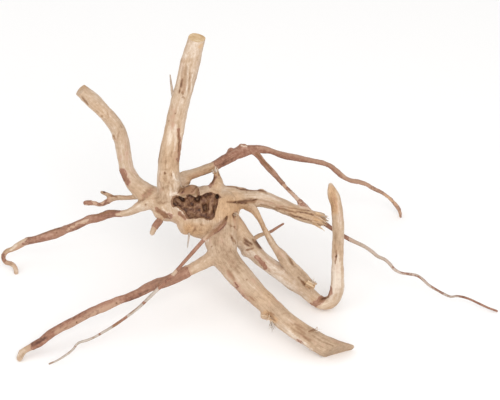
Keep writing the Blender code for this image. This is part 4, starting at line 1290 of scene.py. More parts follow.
# Marks as read off the photo: width in pixels, strength, and the pixels that each runs through
CRACK, CLEFT, HOLE, GROOVE, RIDGE, STAIN, BARK, FLUSH, PEEL, PALE, DULL, GOLD = MarkKind
MARKS = [
    # Crown limb: its scraped top, the flute and scars below it, its knot and its streaks
    PALE(13, 0.35, (190, 56), (194, 46)),
    GOLD(4.5, 0.9, (200, 47), (202, 45)),
    DULL(5, 0.7, (183, 61), (190, 59.5)),
    GROOVE(5.0, 1.3, (185.4, 64), (184.4, 80), (182.9, 95)),
    FLUSH(4, 0.4, (185.4, 66), (184.4, 80), (183.4, 92)),
    CRACK(1.2, 0.9, (182.4, 79), (181.2, 87.6)),
    CRACK(1.3, 0.9, (179.9, 90), (179.3, 93.8)),
    CRACK(1.0, 0.6, (182.8, 66), (181.5, 77), (180.5, 87)),
    RIDGE(1.5, 1.0, (188.8, 66), (187.6, 80), (186, 92)),
    RIDGE(1.2, 0.7, (192, 74), (190.6, 92)),
    STAIN(1.2, 1.3, (179.4, 92.4), (180.4, 87)),
    GROOVE(1.6, 1.0, (190.2, 73), (188.6, 95)),
    CRACK(1.1, 0.8, (181.3, 97.6), (183.3, 97), (184.6, 99)),
    CRACK(0.9, 0.7, (181.8, 92), (183, 94.6)),
    HOLE(0.8, 0.7, (175.2, 113.5)),
    HOLE(0.8, 0.6, (169, 121)),
    STAIN(0.9, 0.9, (172, 104), (171.4, 110)),
    STAIN(0.9, 0.9, (181.5, 108), (180, 117)),
    HOLE(0.7, 0.5, (197, 60)),
    STAIN(2.0, 1.0, (178, 120), (179, 133), (179, 150), (177, 166)),
    BARK(3.2, 0.95, (178.7, 129), (179.7, 141), (179.8, 150), (178.4, 160)),
    CRACK(1.0, 0.7, (178.2, 131), (178.6, 142), (178.4, 152)),
    PALE(2, 0.8, (175.5, 125), (175, 150)),
    STAIN(1.6, 1.5, (161, 143), (159, 155), (157.5, 164)),
    HOLE(1.8, 1.0, (164.9, 173.1)),
    GROOVE(1.0, 1.0, (163, 170), (166.5, 170), (168, 173)),
    RIDGE(2.0, 1.0, (166.5, 171), (168.2, 176.4), (171, 183)),
    RIDGE(1.8, 1.0, (172, 171.5), (173.4, 174.5), (176, 180.6)),
    CRACK(0.9, 0.8, (170.8, 173), (172, 176.5)),
    PALE(5, 0.7, (170, 128), (168.5, 150), (168, 166)),
    PALE(3, 0.7, (167, 185), (164, 193)),
    DULL(16, 0.6, (166, 180), (165, 188), (160, 200)),
    STAIN(1.2, 0.8, (160, 184), (164, 190), (166, 196)),
    STAIN(1.0, 0.9, (168, 181), (172, 186), (174, 191)),
    CRACK(0.8, 0.6, (163, 178), (166, 182)),
    RIDGE(1.6, 0.9, (170, 184), (171, 190), (170, 196)),
    STAIN(1.2, 0.9, (157, 203), (162, 203.5), (168, 202)),
    RIDGE(1.6, 0.9, (171, 195), (175, 192.6), (180, 194)),
    RIDGE(1.6, 0.9, (172, 207.5), (177, 208.8), (181, 212), (184, 216)),
    DULL(12, 0.5, (170, 146), (165, 160)),
    DULL(3, 0.7, (162, 190), (168, 186)),
    # Left limb and twig
    BARK(8.6, 0.95, (122.6, 171), (125, 177.5), (127.6, 182)),
    CRACK(1.2, 0.7, (124, 173), (125.5, 178), (126, 182)),
    GOLD(6, 1.0, (84, 86.5)),
    STAIN(1.0, 0.9, (119, 131), (117.5, 139)),
    CRACK(1.4, 1.0, (82, 97), (85, 101), (88.4, 105)),
    STAIN(2.2, 1.2, (101.5, 116)),
    STAIN(2.2, 1.2, (113, 136)),
    HOLE(0.8, 0.5, (96, 102)),
    STAIN(1.0, 0.9, (107, 112), (109, 118)),
    CRACK(1.0, 0.6, (120.5, 124.5), (122.5, 128)),
    CRACK(1.0, 0.8, (113.8, 136), (115, 139.5)),
    FLUSH(8, 0.9, (145, 196), (150, 191)),
    DULL(9, 1.0, (145, 196), (151, 190)),
    GROOVE(1.4, 1.0, (143, 196), (147, 190), (151, 190)),
    STAIN(1.6, 1.4, (108, 195), (118, 197)),
    HOLE(1.6, 0.9, (104, 192.2)),
    STAIN(2, 1.2, (96, 202.8), (100, 201)),
    BARK(5, 1.0, (84, 203), (89.5, 202.6)),
    CRACK(2.6, 0.9, (102.6, 191.2), (106.5, 192.6)),
    STAIN(2.4, 0.9, (111, 195.8), (118, 197.6)),
    STAIN(1.4, 1.0, (120, 196.5), (134, 197.5)),
    # Left root: its dark slit, the pale wedge under its first bark, peeled patches and hook
    CLEFT(1.6, 0.8, (138, 202.2), (141, 200.6), (143.5, 199.3)),
    HOLE(1.3, 0.8, (145.4, 205)),
    PEEL(3.0, 1.0, (117, 214.5), (124, 213), (131, 209.5)),
    STAIN(1.0, 1.0, (117, 210.5), (126, 209)),
    PEEL(4.2, 0.75, (88, 219.5), (81, 222.5), (77, 224.5)),
    PEEL(4.8, 0.8, (73.5, 227), (67, 229.5)),
    DULL(3, 0.7, (86, 225), (78, 228.5)),
    PALE(3, 0.9, (52, 234), (38, 237.5)),
    PALE(2, 1.0, (16, 245), (11, 250)),
    PALE(2, 1.0, (13, 266), (16, 271)),
    HOLE(1.1, 0.9, (56.4, 233.2)),
    STAIN(1.4, 1.2, (58, 228.5), (62, 226)),
    CRACK(0.9, 0.9, (26, 237.4), (40, 234.4), (48, 231.2), (56, 228.8), (62, 226.6)),
    CRACK(0.8, 0.8, (94, 216), (104, 213), (112, 211), (120, 208.8), (127, 208.6)),
    CRACK(0.8, 0.5, (66, 225.5), (78, 219.5)),
    PEEL(3.4, 0.6, (24, 240), (17, 243), (10, 249)),
    BARK(2.4, 0.5, (3, 254.5), (4.5, 260)),
    STAIN(1.2, 1.2, (10, 263), (12.5, 264.5)),
    # Burl: the crevices around the pinkish lump, the pocket and the flap left of the hollow
    FLUSH(12, 1.0, (184, 191), (192, 189.5)),
    STAIN(12, 1.4, (183, 191), (193, 189)),
    DULL(15, 2.3, (184, 191), (192, 189.5)),
    CRACK(1.5, 1.0, (177.3, 193.4), (180.4, 189), (184.8, 186.5), (190.6, 184.5)),
    CRACK(1.6, 1.0, (197.4, 188), (197.1, 201)),
    CLEFT(5, 0.5, (172.8, 197), (174.5, 202), (177, 206)),
    CRACK(1.7, 0.9, (205.6, 213), (206, 206), (208.5, 201), (212.5, 199.5)),
    CRACK(1.7, 0.9, (215.2, 200), (215.6, 207), (214.4, 214)),
    CRACK(1.2, 0.9, (186, 203), (188.4, 208.6)),
    HOLE(1.6, 0.9, (196, 212.6)),
    HOLE(1.3, 0.7, (190.4, 214.4)),
    CRACK(1.5, 0.8, (183.6, 198), (187.5, 200), (189.6, 204.5)),
    RIDGE(1.6, 1.2, (186, 206), (191, 208), (196, 207.5)),
    RIDGE(2.4, 1.2, (209.4, 203), (210.8, 209), (209.6, 215)),
    RIDGE(1.6, 1.0, (201, 201), (200.6, 207), (202, 212)),
    CRACK(1.8, 0.8, (186, 217.8), (196, 215.6), (203, 217.4), (210.4, 219.2), (214.6, 215.6)),
    STAIN(3.0, 1.2, (186, 211), (194, 215.5)),
    BARK(5.0, 1.0, (156.5, 208.2), (160, 211.5), (164.5, 214.6), (171, 217)),
    GROOVE(5.2, 1.7, (156.3, 207.8), (160, 211.5), (165, 215), (171, 217.4)),
    PEEL(2.6, 1.0, (152, 212.5), (157, 216.5), (163, 220), (172, 222.5)),
    RIDGE(1.3, 1.0, (161.8, 206.3), (165, 211.4), (169, 214), (174, 216)),
    STAIN(1.0, 1.2, (155, 210), (160, 214.5), (166, 217.5)),
    BARK(3.6, 0.95, (179.6, 213), (184, 218)),
    CRACK(1.0, 0.9, (178.6, 211.5), (181.5, 216), (185, 218.8)),
    CRACK(1.3, 1.0, (193, 192.3), (196, 187), (198, 186)),
    CRACK(1.6, 1.0, (195, 227.2), (194.8, 230), (193, 232.2)),
    RIDGE(1.4, 1.0, (192.3, 227.3), (191.6, 230)),
    HOLE(0.7, 0.5, (199.3, 230.3)),
    HOLE(0.7, 0.5, (196.4, 225.8)),
    STAIN(1.2, 1.0, (199.7, 224.5), (204, 226)),
    HOLE(1.1, 0.7, (211.7, 246.7)),
    HOLE(1.0, 0.7, (231.2, 226.6)),
    HOLE(1.2, 0.7, (234.9, 226.8)),
    STAIN(1.0, 1.0, (230, 224.5), (237, 229.8)),
    CLEFT(2.4, 1.1, (227.2, 215.8), (226, 218.6), (224.4, 221.4)),
    STAIN(3.6, 1.7, (224, 221.5), (217, 229), (210, 235.5), (205.5, 239)),
    PALE(1.6, 1.0, (208, 240), (203, 243)),
    CRACK(1.3, 0.9, (139, 306), (134, 310), (129, 314.5)),
    CRACK(1.3, 0.9, (120, 321.5), (116, 325), (112, 328)),
    CRACK(0.8, 0.7, (93.5, 337.7)),
    CRACK(0.8, 0.7, (70, 351.5), (66, 353.5)),
    CRACK(0.9, 0.9, (53, 362), (49, 364)),
    GOLD(40, 0.8, (220, 209), (232, 207)),
    GOLD(16, 0.7, (192, 180), (214, 171)),
    GOLD(16, 0.6, (215, 190), (217, 180)),
    GOLD(18, 0.6, (190, 230), (208, 230)),
    DULL(14, 0.5, (188, 228), (204, 232)),
    DULL(16, 0.4, (212, 229), (222, 231)),
    DULL(24, 0.6, (221, 240), (232, 266)),
    DULL(12, 0.35, (158, 199), (172, 203)),
    DULL(8, 0.3, (214, 240), (230, 250)),
    CRACK(2.0, 1.2, (211, 184), (213, 180.8), (215, 176.4)),
    BARK(4, 1.0, (209.6, 186), (212.4, 181.5), (214.6, 177)),
    CRACK(1.2, 0.8, (224, 184.5), (231, 186.6), (238, 188.2)),
    CRACK(1.1, 1.0, (215.9, 173.6), (216.4, 169)),
    CRACK(0.9, 0.8, (218.5, 176), (219, 172)),
    # Painted shade along the underside of the back root's base
    STAIN(1.4, 1.2, (188, 183), (200, 177.6), (211.5, 172.3)),
    STAIN(1.1, 1.0, (199.5, 187.3), (207, 184.5)),
    # Front root
    STAIN(1.2, 1.4, (158.6, 283), (158.6, 287)),
    PEEL(4.4, 0.42, (117.5, 303.5), (126, 300.5)),
    HOLE(1.1, 1.0, (116.3, 303.1)),
    HOLE(1.0, 0.9, (76.4, 322.6)),
    DULL(4, 0.6, (146, 292), (136, 296), (127, 299)),
    PALE(3, 0.8, (24, 350), (18, 355)),
    HOLE(1.0, 0.8, (97, 314)),
    CRACK(1.0, 0.7, (64, 328.5), (68, 326.5)),
    PALE(9, 0.6, (118, 304), (110, 307.5), (92, 315), (70, 327), (58, 332)),
    GOLD(9, 1.2, (118, 304), (110, 307.5), (92, 315), (70, 327), (58, 332)),
    DULL(3, 0.8, (132, 300), (122, 305)),
    DULL(4, 0.8, (46, 338), (32, 345)),
    STAIN(1.1, 1.2, (17.2, 351), (18.4, 354)),
    # Heel limb
    STAIN(4.4, 1.2, (227.3, 269.5), (231, 274.5), (234.6, 280)),
    FLUSH(7, 0.75, (229, 276), (236, 286), (244, 297), (253, 306)),
    BARK(2.4, 0.45, (234.6, 282.5), (238, 287.5)),
    STAIN(2.2, 1.2, (249, 296), (254.5, 300.5)),
    HOLE(0.8, 0.5, (224.9, 263.5)),
    HOLE(0.8, 0.6, (246.6, 279.6)),
    HOLE(0.7, 0.5, (238, 262)),
    HOLE(0.7, 0.5, (231, 249)),
    STAIN(4.4, 1.1, (268, 313), (274, 318)),
    STAIN(9, 0.8, (291, 322), (303, 332), (315, 341)),
    GOLD(7, 1.0, (266, 313), (275, 320)),
    CRACK(1.1, 1.0, (268, 315.5), (272, 318.5), (276, 321)),
    CRACK(0.9, 0.7, (270, 312.5), (274.5, 314.5)),
    STAIN(0.9, 0.9, (282, 314.3), (286, 312.5), (290, 313)),
    CRACK(1.2, 1.0, (308.6, 331.3), (312.5, 329.5), (319, 331.6)),
    STAIN(3.0, 0.9, (309, 332.3), (314, 331)),
    GROOVE(1.3, 1.0, (283.6, 322.2), (296, 331), (311, 341.5)),
    GROOVE(1.1, 1.0, (294.9, 323.8), (306, 330.2)),
    GROOVE(1.0, 1.0, (290, 328.6), (300, 337)),
    GROOVE(1.0, 1.0, (302.9, 337), (312.5, 344.7), (321, 348)),
    GROOVE(1.0, 1.0, (312, 335), (322, 341.5), (334, 346)),
    STAIN(0.9, 0.9, (296, 327), (305, 334)),
    STAIN(0.9, 0.8, (286, 320), (293, 325.5)),
    RIDGE(1.5, 1.0, (282, 325), (297, 336.5), (313, 350)),
    # Painted highlight on the heel limb's lower face
    PALE(4.6, 0.7, (288, 333), (300, 343), (312, 352)),
    BARK(1.2, 0.8, (297, 339.5), (303.5, 345.5)),
    DULL(8, 0.3, (300, 300), (290, 292)),
    # Hook limb
    CLEFT(2.4, 0.8, (231.6, 237), (233.6, 240.6), (235.6, 244)),
    STAIN(2.4, 1.2, (229.5, 234), (233, 238)),
    STAIN(8, 1.1, (243, 240), (252, 247)),
    DULL(10, 0.6, (240, 236), (256, 248)),
    CRACK(2.0, 1.0, (237, 212), (233.6, 214.6), (234.4, 218.6)),
    STAIN(5, 1.0, (235.4, 213.5), (233.4, 217)),
    CRACK(1.5, 1.0, (243.4, 238), (247, 241.5), (252.8, 244.6)),
    CRACK(1.4, 1.0, (244.5, 242.5), (249, 246.6)),
    CRACK(1.5, 1.0, (245.6, 250.6), (249.5, 249.6), (253.9, 247.9)),
    RIDGE(1.2, 0.8, (246, 238.6), (252, 242.2)),
    CLEFT(1.2, 0.3, (251.6, 238), (256.4, 243.4)),
    PALE(16, 0.4, (266, 264), (290, 284)),
    CRACK(2.2, 1.0, (256, 240), (259.4, 246.1), (261.7, 248.8)),
    STAIN(3.2, 1.5, (252.5, 239), (260, 248.5)),
    BARK(4.0, 0.9, (255.5, 257.4), (259.5, 259.6), (262, 262.5)),
    BARK(3.0, 0.9, (262.5, 264), (265.6, 268.5)),
    STAIN(1.2, 0.9, (268, 270), (271, 273)),
    BARK(8, 0.95, (312.5, 305.5), (317, 302), (322, 299)),
    BARK(4.5, 0.9, (322, 298.5), (328, 295.5), (331, 291.5)),
    CRACK(2.6, 0.8, (318, 302.5), (323, 299.5), (328.6, 296.6)),
    CLEFT(1.2, 0.5, (319.5, 299.4), (324, 298), (328.6, 296.3)),
    BARK(1.6, 0.8, (330, 293), (331, 287)),
    CRACK(1.1, 1.0, (336.4, 250), (336.1, 258), (335.2, 264)),
    HOLE(0.9, 1.0, (336.3, 256.5)),
    GOLD(11, 0.9, (332, 190), (335, 210)),
    STAIN(5, 0.45, (332, 191), (333, 209)),
    STAIN(1.2, 0.6, (331, 212), (337, 210.5)),
    # Painted shade darkening the left of the hook limb's tip
    DULL(9, 0.8, (332, 188), (334, 208)),
    PALE(11, 0.8, (337, 258), (337, 285), (331, 300), (322, 306)),
    DULL(9, 0.5, (335, 214), (336.5, 245)),
    # Painted highlight along the right side of the hook limb's tip
    PALE(2.6, 0.7, (336, 190), (338.2, 200), (338.6, 212)),
    # Split limb and torn strip
    CLEFT(2.0, 0.8, (227, 201.8), (233, 202.2), (239, 202.6), (246, 203.4)),
    CLEFT(1.8, 0.7, (238, 201.4), (248, 200.2), (257, 200.2)),
    STAIN(3.4, 1.5, (234, 202.6), (244, 202.2), (256, 201.8)),
    GROOVE(1.4, 1.0, (246, 197.8), (262, 200.5), (275, 204)),
    CRACK(1.0, 0.9, (259.5, 204), (268, 206.4), (277.2, 209.6)),
    CRACK(1.3, 1.0, (275.6, 207.2), (286, 210), (296.5, 213)),
    CRACK(1.3, 1.0, (296, 211.2), (304, 213), (312.5, 214.4)),
    CRACK(1.0, 0.9, (311, 213.7), (316, 215.3), (320.6, 217)),
    GROOVE(1.1, 1.0, (270, 209.5), (288, 215.5), (306, 219.5)),
    CRACK(1.2, 1.0, (288, 213.6), (305, 219.6), (315.8, 222.5)),
    CRACK(1.1, 0.8, (280, 206), (296, 209), (310, 211)),
    GROOVE(1.0, 1.0, (264, 208.5), (274, 212.5)),
    CRACK(1.4, 1.0, (236, 187.6), (240, 189.4), (247, 190.2), (257, 189.8), (266, 191.5)),
    STAIN(2.2, 1.1, (240, 189), (257, 190), (268, 193.5)),
    GOLD(12, 0.6, (292, 210), (324, 218)),
    STAIN(1.4, 1.2, (321, 223), (330, 227)),
    GROOVE(1.2, 1.0, (262, 213), (268, 222), (276, 233)),
    GROOVE(1.8, 1.5, (286.8, 254.7), (291, 261), (294.9, 267.5)),
    STAIN(2.2, 1.2, (289, 259), (293, 265)),
    HOLE(0.9, 0.6, (288.5, 253)),
    GROOVE(1.8, 1.6, (298, 277.2), (303, 283), (309.3, 288.4)),
    STAIN(2.2, 1.2, (301, 281), (307, 287)),
    GROOVE(1.1, 1.0, (293, 256), (298, 263.5)),
    GROOVE(1.1, 1.0, (302, 270), (308, 278)),
    GOLD(5, 1.0, (306, 283), (314, 286)),
    # Back root
    CRACK(1.1, 0.8, (279, 176.6), (290, 187.6), (298, 197)),
    CRACK(1.0, 0.7, (256, 153), (264, 162), (272, 170.4)),
    STAIN(3, 1.0, (256, 153), (264, 162), (272, 170.4)),
    BARK(3, 0.5, (215.5, 162), (217.5, 168)),
    GOLD(4, 0.8, (262, 147.4), (285, 152.4), (310, 159), (330, 164), (345, 175)),
    GOLD(8, 1.1, (345, 176), (365, 184), (385, 194), (398, 208), (401, 216)),
    PALE(8, 0.7, (365, 184), (385, 194), (398, 208), (401, 216)),
    PALE(3.0, 1.6, (242, 146.5), (246, 148)),
    PEEL(2.2, 0.8, (241, 145), (246, 146.5)),
    DULL(4, 0.6, (222, 163), (232, 157)),
]


@dataclass(frozen=True)
class Tuft:
    """A tuft of torn fibres or splinters that fray from a break.

    Attributes:
        root: Right, up and near of its middle.
        aim: Which way it points, right, up and near.
        size: How wide its root is spread across its aim.
        count: How many fibres it has.
        length: Length of the longest.
        thick: Radius of the thickest at its root.
        spread: How far the fibres lean apart, as a share of their length.
        curl: How far they curl back, as a share of their length.
        grey: How weathered they are, from 0 to 1.
        gold: How golden they are, from 0 to 1.
    """

    root: Place
    aim: Place
    size: float
    count: int
    length: float
    thick: float
    spread: float = 0.35
    curl: float = 0.2
    grey: float = 0.3
    gold: float = 0.4

    def model(self, draw: np.random.Generator) -> list[Piece]:
        """Models each fibre as a thin limb that tapers and curls.

        Args:
            draw: Where its random numbers come from.

        Returns:
            The fibres, closed shells.
        """
        aim = np.array(self.aim) / np.linalg.norm(self.aim)
        fibres = []
        for _ in range(self.count):
            ball = draw.normal(size=(3, 3))
            across = ball - (ball @ aim)[:, None] * aim
            aside = across[0] / np.linalg.norm(across[0])
            start = np.array(self.root) + 0.5 * self.size * math.sqrt(draw.uniform()) * aside
            length = self.length * draw.uniform(*FIBRE_LENGTHS)
            lean = aim + self.spread * across[1]
            bend = self.curl * across[2]
            thick = self.thick * draw.uniform(*FIBRE_WIDTHS)
            route = [(*(start - FIBRE_ROOT * length * aim), thick)]
            for leant, curled, left in FIBRE_STOPS:
                end = start + leant * length * lean + curled * length * bend
                route.append((*end, left * thick))
            shape = {"facets": FIBRE_FACETS, "spacing": FIBRE_SPACING, "knobbly": FIBRE_KNOBBLY}
            fibres.append(Limb("fibre", route, **shape).model())
        return fibres


TUFTS = [
    # Broken end of the split limb
    Tuft((104.5, -12.5, -8.5), (0.93, -0.3, 0.0), 11.0, 40, 12.0, 1.2, 0.15, 0.06, 0.0, 0.7),
    Tuft((109.0, -8.5, -8.0), (0.93, -0.35, 0.1), 5.0, 12, 6.0, 0.6, 0.2, 0.1, 0.8, 0.1),
    # Torn end of the strip
    Tuft((97.0, -71.0, -6.0), (0.75, -0.55, 0.0), 9.0, 34, 7.0, 1.0, 0.2, 0.06, 0.05, 0.8),
    Tuft((101.0, -70.0, -6.5), (0.6, 0.5, 0.2), 4.0, 8, 4.5, 0.5, 0.4, 0.2, 0.5, 0.4),
    # Torn knot on the heel limb
    Tuft((62.5, -98.5, 33.5), (-0.3, -0.6, 0.6), 6.0, 30, 6.0, 0.6, 0.5, 0.3, 0.1, 0.9),
    Tuft((65.5, -105.0, 31.5), (0.0, -0.9, 0.2), 4.5, 24, 9.0, 0.42, 0.4, 0.5, 0.95, 0.0),
    # Tip of the spur, and the tuft at the root of the hook limb
    Tuft((13.8, 30.0, -6.0), (-0.25, 0.9, -0.3), 5.5, 18, 6.0, 0.7, 0.2, 0.1, 0.45, 0.3),
    Tuft((31.5, -8.5, 14.0), (0.6, -0.2, 0.6), 4.5, 14, 4.0, 0.3, 0.5, 0.4, 0.2, 0.5),
    # Nick near the end of the heel limb
    Tuft((104.5, -112.5, 43.0), (0.6, 0.2, 0.5), 4.5, 10, 4.0, 0.35, 0.4, 0.3, 0.3, 0.5),
]


@dataclass
class TornFibres:
    """Fibres and splinters that fray from the breaks."""

    tufts: list[Tuft]

    def model(self, material: bpy.types.Material) -> Piece:
        """Models all the tufts in one mesh and colours each fibre.

        Args:
            material: The root's skin.

        Returns:
            The fibres.
        """
        draw = np.random.default_rng(FIBRE_SEED)
        fibres, grey, gold, tone = [], [], [], []
        for tuft in self.tufts:
            for fibre in tuft.model(draw):
                count = len(fibre.data.vertices)
                fibres.append(fibre)
                grey += [tuft.grey] * count
                gold += [tuft.gold * draw.uniform(*FIBRE_GOLDS)] * count
                tone += [draw.uniform(*FIBRE_TONES)] * count
        whole = join(fibres, "torn_fibres")
        piece = WoodPiece(whole, Carver([], []))
        for name, values in (("grey", grey), ("gold", gold), ("tone", tone)):
            piece.leave(name, "FLOAT", "value", np.array(values))
        whole.data.materials.append(material)
        piece.mount()
        return whole


@dataclass
class Hollow:
    """The rotted hollow in the burl's face: its outline, its depth and the lobes on its floor."""

    outline: list[Spot]
    mouth: float
    floor: float
    lobes: list[Lump]
    taper: float = 0.94

    def cut(self, wood: Piece) -> None:
        """Cuts the hollow into the wood and sets the lobes on its floor."""
        lobes = join([lobe.model() for lobe in self.lobes], "lobes")
        finish_modifier(lobes, "REMESH", mode="VOXEL", voxel_size=SKIN_CELL * MM)
        for tool, operation in ((self.model(), "DIFFERENCE"), (lobes, "UNION")):
            finish_modifier(wood, "BOOLEAN", operation=operation, object=tool)
            bpy.data.objects.remove(tool, do_unlink=True)

    def model(self) -> Piece:
        """Extrudes the outline from outside the burl to the hollow's floor.

        Returns:
            The space that is cut away, a closed shell.
        """
        deselect_all()
        bpy.ops.mesh.primitive_circle_add(vertices=len(self.outline), fill_type="NGON")
        space = bpy.context.object
        rim = [PICTURE.place(right, up, self.mouth) for right, up in self.outline]
        place_points(space, np.array(rim))
        sink = PICTURE.axes[2] * (self.floor - self.mouth)
        middle = sum(rim, Vector()) / len(rim) + sink
        pick(space)
        enter("EDIT")
        bpy.ops.mesh.select_all(action="SELECT")
        bpy.ops.mesh.extrude_region_move(TRANSFORM_OT_translate={"value": sink * MM})
        bpy.ops.transform.resize(value=(self.taper,) * 3, center_override=middle * MM)
        bpy.ops.mesh.select_all(action="SELECT")
        bpy.ops.mesh.normals_make_consistent(inside=False)
        enter("OBJECT")
        return space

    def inside(self, seen: Array) -> Array:
        """How far inside the outline points lie.

        Args:
            seen: Right, up and near of each point in the front picture.

        Returns:
            Distance to the outline in millimetres, below 0 outside it or behind the floor.
        """
        gap = np.full(len(seen), np.inf)
        within = np.zeros(len(seen), bool)
        spots = np.array(self.outline)
        for start, end in zip(spots, np.roll(spots, -1, axis=0)):
            run = end - start
            offset = seen[:, :2] - start
            share = np.clip(offset @ run / (run @ run), 0.0, 1.0)
            gap = np.minimum(gap, np.linalg.norm(offset - share[:, None] * run, axis=1))
            spans = (start[1] > seen[:, 1]) != (end[1] > seen[:, 1])
            rise = run[1] if run[1] else 1.0
            within ^= spans & (offset[:, 0] < run[0] * offset[:, 1] / rise)
        gap = np.where(within, gap, -gap)
        return np.minimum(gap, seen[:, 2] - self.floor + HOLLOW_BACK)


@dataclass
class SolidWood:
    """The burl, limbs and thick roots, grown together as one skin."""

    limbs: list[Limb]
    splinters: list[Limb]
    lumps: list[Lump]
    hollow: Hollow

    def model(self) -> Piece:
        """Blends the limbs and lumps into one skin and cuts the hollow into it.

        Returns:
            The wood, one closed skin.
        """
        shells = [limb.model() for limb in (*self.limbs, *self.splinters)]
        shells += [lump.model() for lump in self.lumps]
        wood = join(shells, "root_wood")
        self.blend(wood)
        self.hollow.cut(wood)
        self.blend(wood)
        self.keep_largest(wood)
        return wood

    @staticmethod
    def blend(wood: Piece) -> None:
        """Makes overlapping shells one skin of small even cells, and softens it."""
        finish_modifier(wood, "REMESH", mode="VOXEL", voxel_size=SKIN_CELL * MM)
        finish_modifier(wood, "SMOOTH", iterations=SKIN_ROUNDS)

    @staticmethod
    def keep_largest(wood: Piece) -> None:
        """Drops the skin of any pocket sealed inside the wood."""
        pick(wood)
        enter("EDIT")
        bpy.ops.mesh.select_all(action="DESELECT")
        enter("OBJECT")
        highest = int(np.argmax(read_column(wood.data.vertices, "co", 3)[:, 2]))
        wood.data.vertices[highest].select = True
        enter("EDIT")
        bpy.ops.mesh.select_linked()
        bpy.ops.mesh.select_all(action="INVERT")
        bpy.ops.mesh.delete(type="VERT")
        enter("OBJECT")

    def cut_ends(self, wood: Piece) -> None:
        """Saws the sawn ends off flat, with sharp rims."""
        for limb in self.limbs:
            if limb.cut is None:
                continue
            through, normal = limb.cut.plane()
            points = read_column(wood.data.vertices, "co", 3) / MM
            offset = points - np.array(through)
            height = offset @ np.array(normal)
            near = (np.linalg.norm(offset, axis=1) < SAW_REACH) & (height > -SAW_MARGIN)
            self.select(wood, near)
            bpy.ops.mesh.bisect(plane_co=through * MM, plane_no=normal, use_fill=True, clear_outer=True)
            enter("OBJECT")

    def find_sawn(self, wood: Piece) -> Array:
        """Finds the faces of the fresh saw cuts.

        Args:
            wood: The wood, after its ends are cut.

        Returns:
            For each face, whether it is sawn.
        """
        centres = read_column(wood.data.polygons, "center", 3) / MM
        facing = read_column(wood.data.polygons, "normal", 3)
        sawn = np.zeros(len(centres), bool)
        for limb in self.limbs:
            if limb.cut is None or not limb.cut.fresh:
                continue
            through, normal = limb.cut.plane()
            offset = centres - np.array(through)
            level = np.abs(offset @ np.array(normal)) < SAW_LEVEL
            straight = facing @ np.array(normal) > SAWN_FACING
            sawn |= level & straight & (np.linalg.norm(offset, axis=1) < SAW_REACH)
        return sawn

    @staticmethod
    def level_feet(wood: Piece) -> None:
        """Wears the low points flat, so that the root rests on the floor."""
        points = read_column(wood.data.vertices, "co", 3) / MM
        points[:, 2] = np.maximum(points[:, 2], 0.0)
        place_points(wood, points)

    @staticmethod
    def select(wood: Piece, chosen: Array) -> None:
        """Enters edit mode with the faces all of whose points are chosen selected."""
        pick(wood)
        enter("EDIT")
        bpy.ops.mesh.select_mode(type="VERT")
        bpy.ops.mesh.select_all(action="DESELECT")
        enter("OBJECT")
        wood.data.vertices.foreach_set("select", chosen)
        enter("EDIT")
        bpy.ops.mesh.select_mode(type="FACE")


def linear(colour: str) -> tuple[float, float, float, float]:
    """Turns an sRGB hex colour to linear numbers."""
    channels = [int(colour[i : i + 2], 16) / 255 for i in (1, 3, 5)]
    low = [c / 12.92 if c <= 0.04045 else ((c + 0.055) / 1.055) ** 2.4 for c in channels]
    return (*low, 1.0)


def add_node(tree: bpy.types.NodeTree, kind: str, inputs: dict, **settings: object) -> bpy.types.Node:
    """Adds a node, with its settings and what goes into it.

    Args:
        tree: The material's nodes.
        kind: The node's type.
        inputs: For each input, by name or number, a number, a colour or a socket to link.
        **settings: What its properties are set to.

    Returns:
        The node.
    """
    node = tree.nodes.new(kind)
    for key, value in settings.items():
        setattr(node, key, value)
    for key, value in inputs.items():
        if isinstance(value, Socket):
            tree.links.new(value, node.inputs[key])
        else:
            node.inputs[key].default_value = value
    return node


@dataclass(frozen=True)
class Finish:
    """Colours of a finish in shade, in the middle and in its lightest grain, and how dull it is."""

    shade: str
    middle: str
    light: str
    roughness: float


# Azalea root, peeled and sun-dried: dull pale tan wood, with long fibres that open a little
PEELED_WOOD = Finish("#8f7052", "#bda287", "#e2d4c5", 0.62)
# The same wood where it has kept more of its colour: yellower
GOLD_WOOD = Finish("#90673f", "#c39a70", "#ddc19a", 0.62)
# Hair roots and torn fibres, weathered thin: grey, and almost white where they fray
GREY_WOOD = Finish("#87796d", "#b5aaa0", "#d6cfc8", 0.75)
# Thin inner bark left in patches: reddish brown, scraped and dry, with paler flecks
ROOT_BARK = Finish("#5c3729", "#936650", "#b48c78", 0.74)
# Heart of the burl, rotted and worn hollow: dark brown and crumbly
ROTTED_HEART = Finish("#3a2115", "#6a432d", "#a47f5f", 0.85)
# Saw cuts across the wood: golden tan end grain in torn blotches, with faint growth rings
SAWN_WOOD = Finish("#a98358", "#cbaa80", "#dcc6a4", 0.7)
# Wood stained pinkish by the bark that lay on it
FLUSHED_WOOD = "#b3866f"
# Bark worn thin and faded tan by light
SUNNED_BARK = "#b8957c"
# Wood round a crack, browned by sap and dirt, and the bottom of the crack; both also paint shade into
# dents, creases and grooves
STAINED_WOOD = "#8a6341"
CRACK_BROWN = "#5e3820"


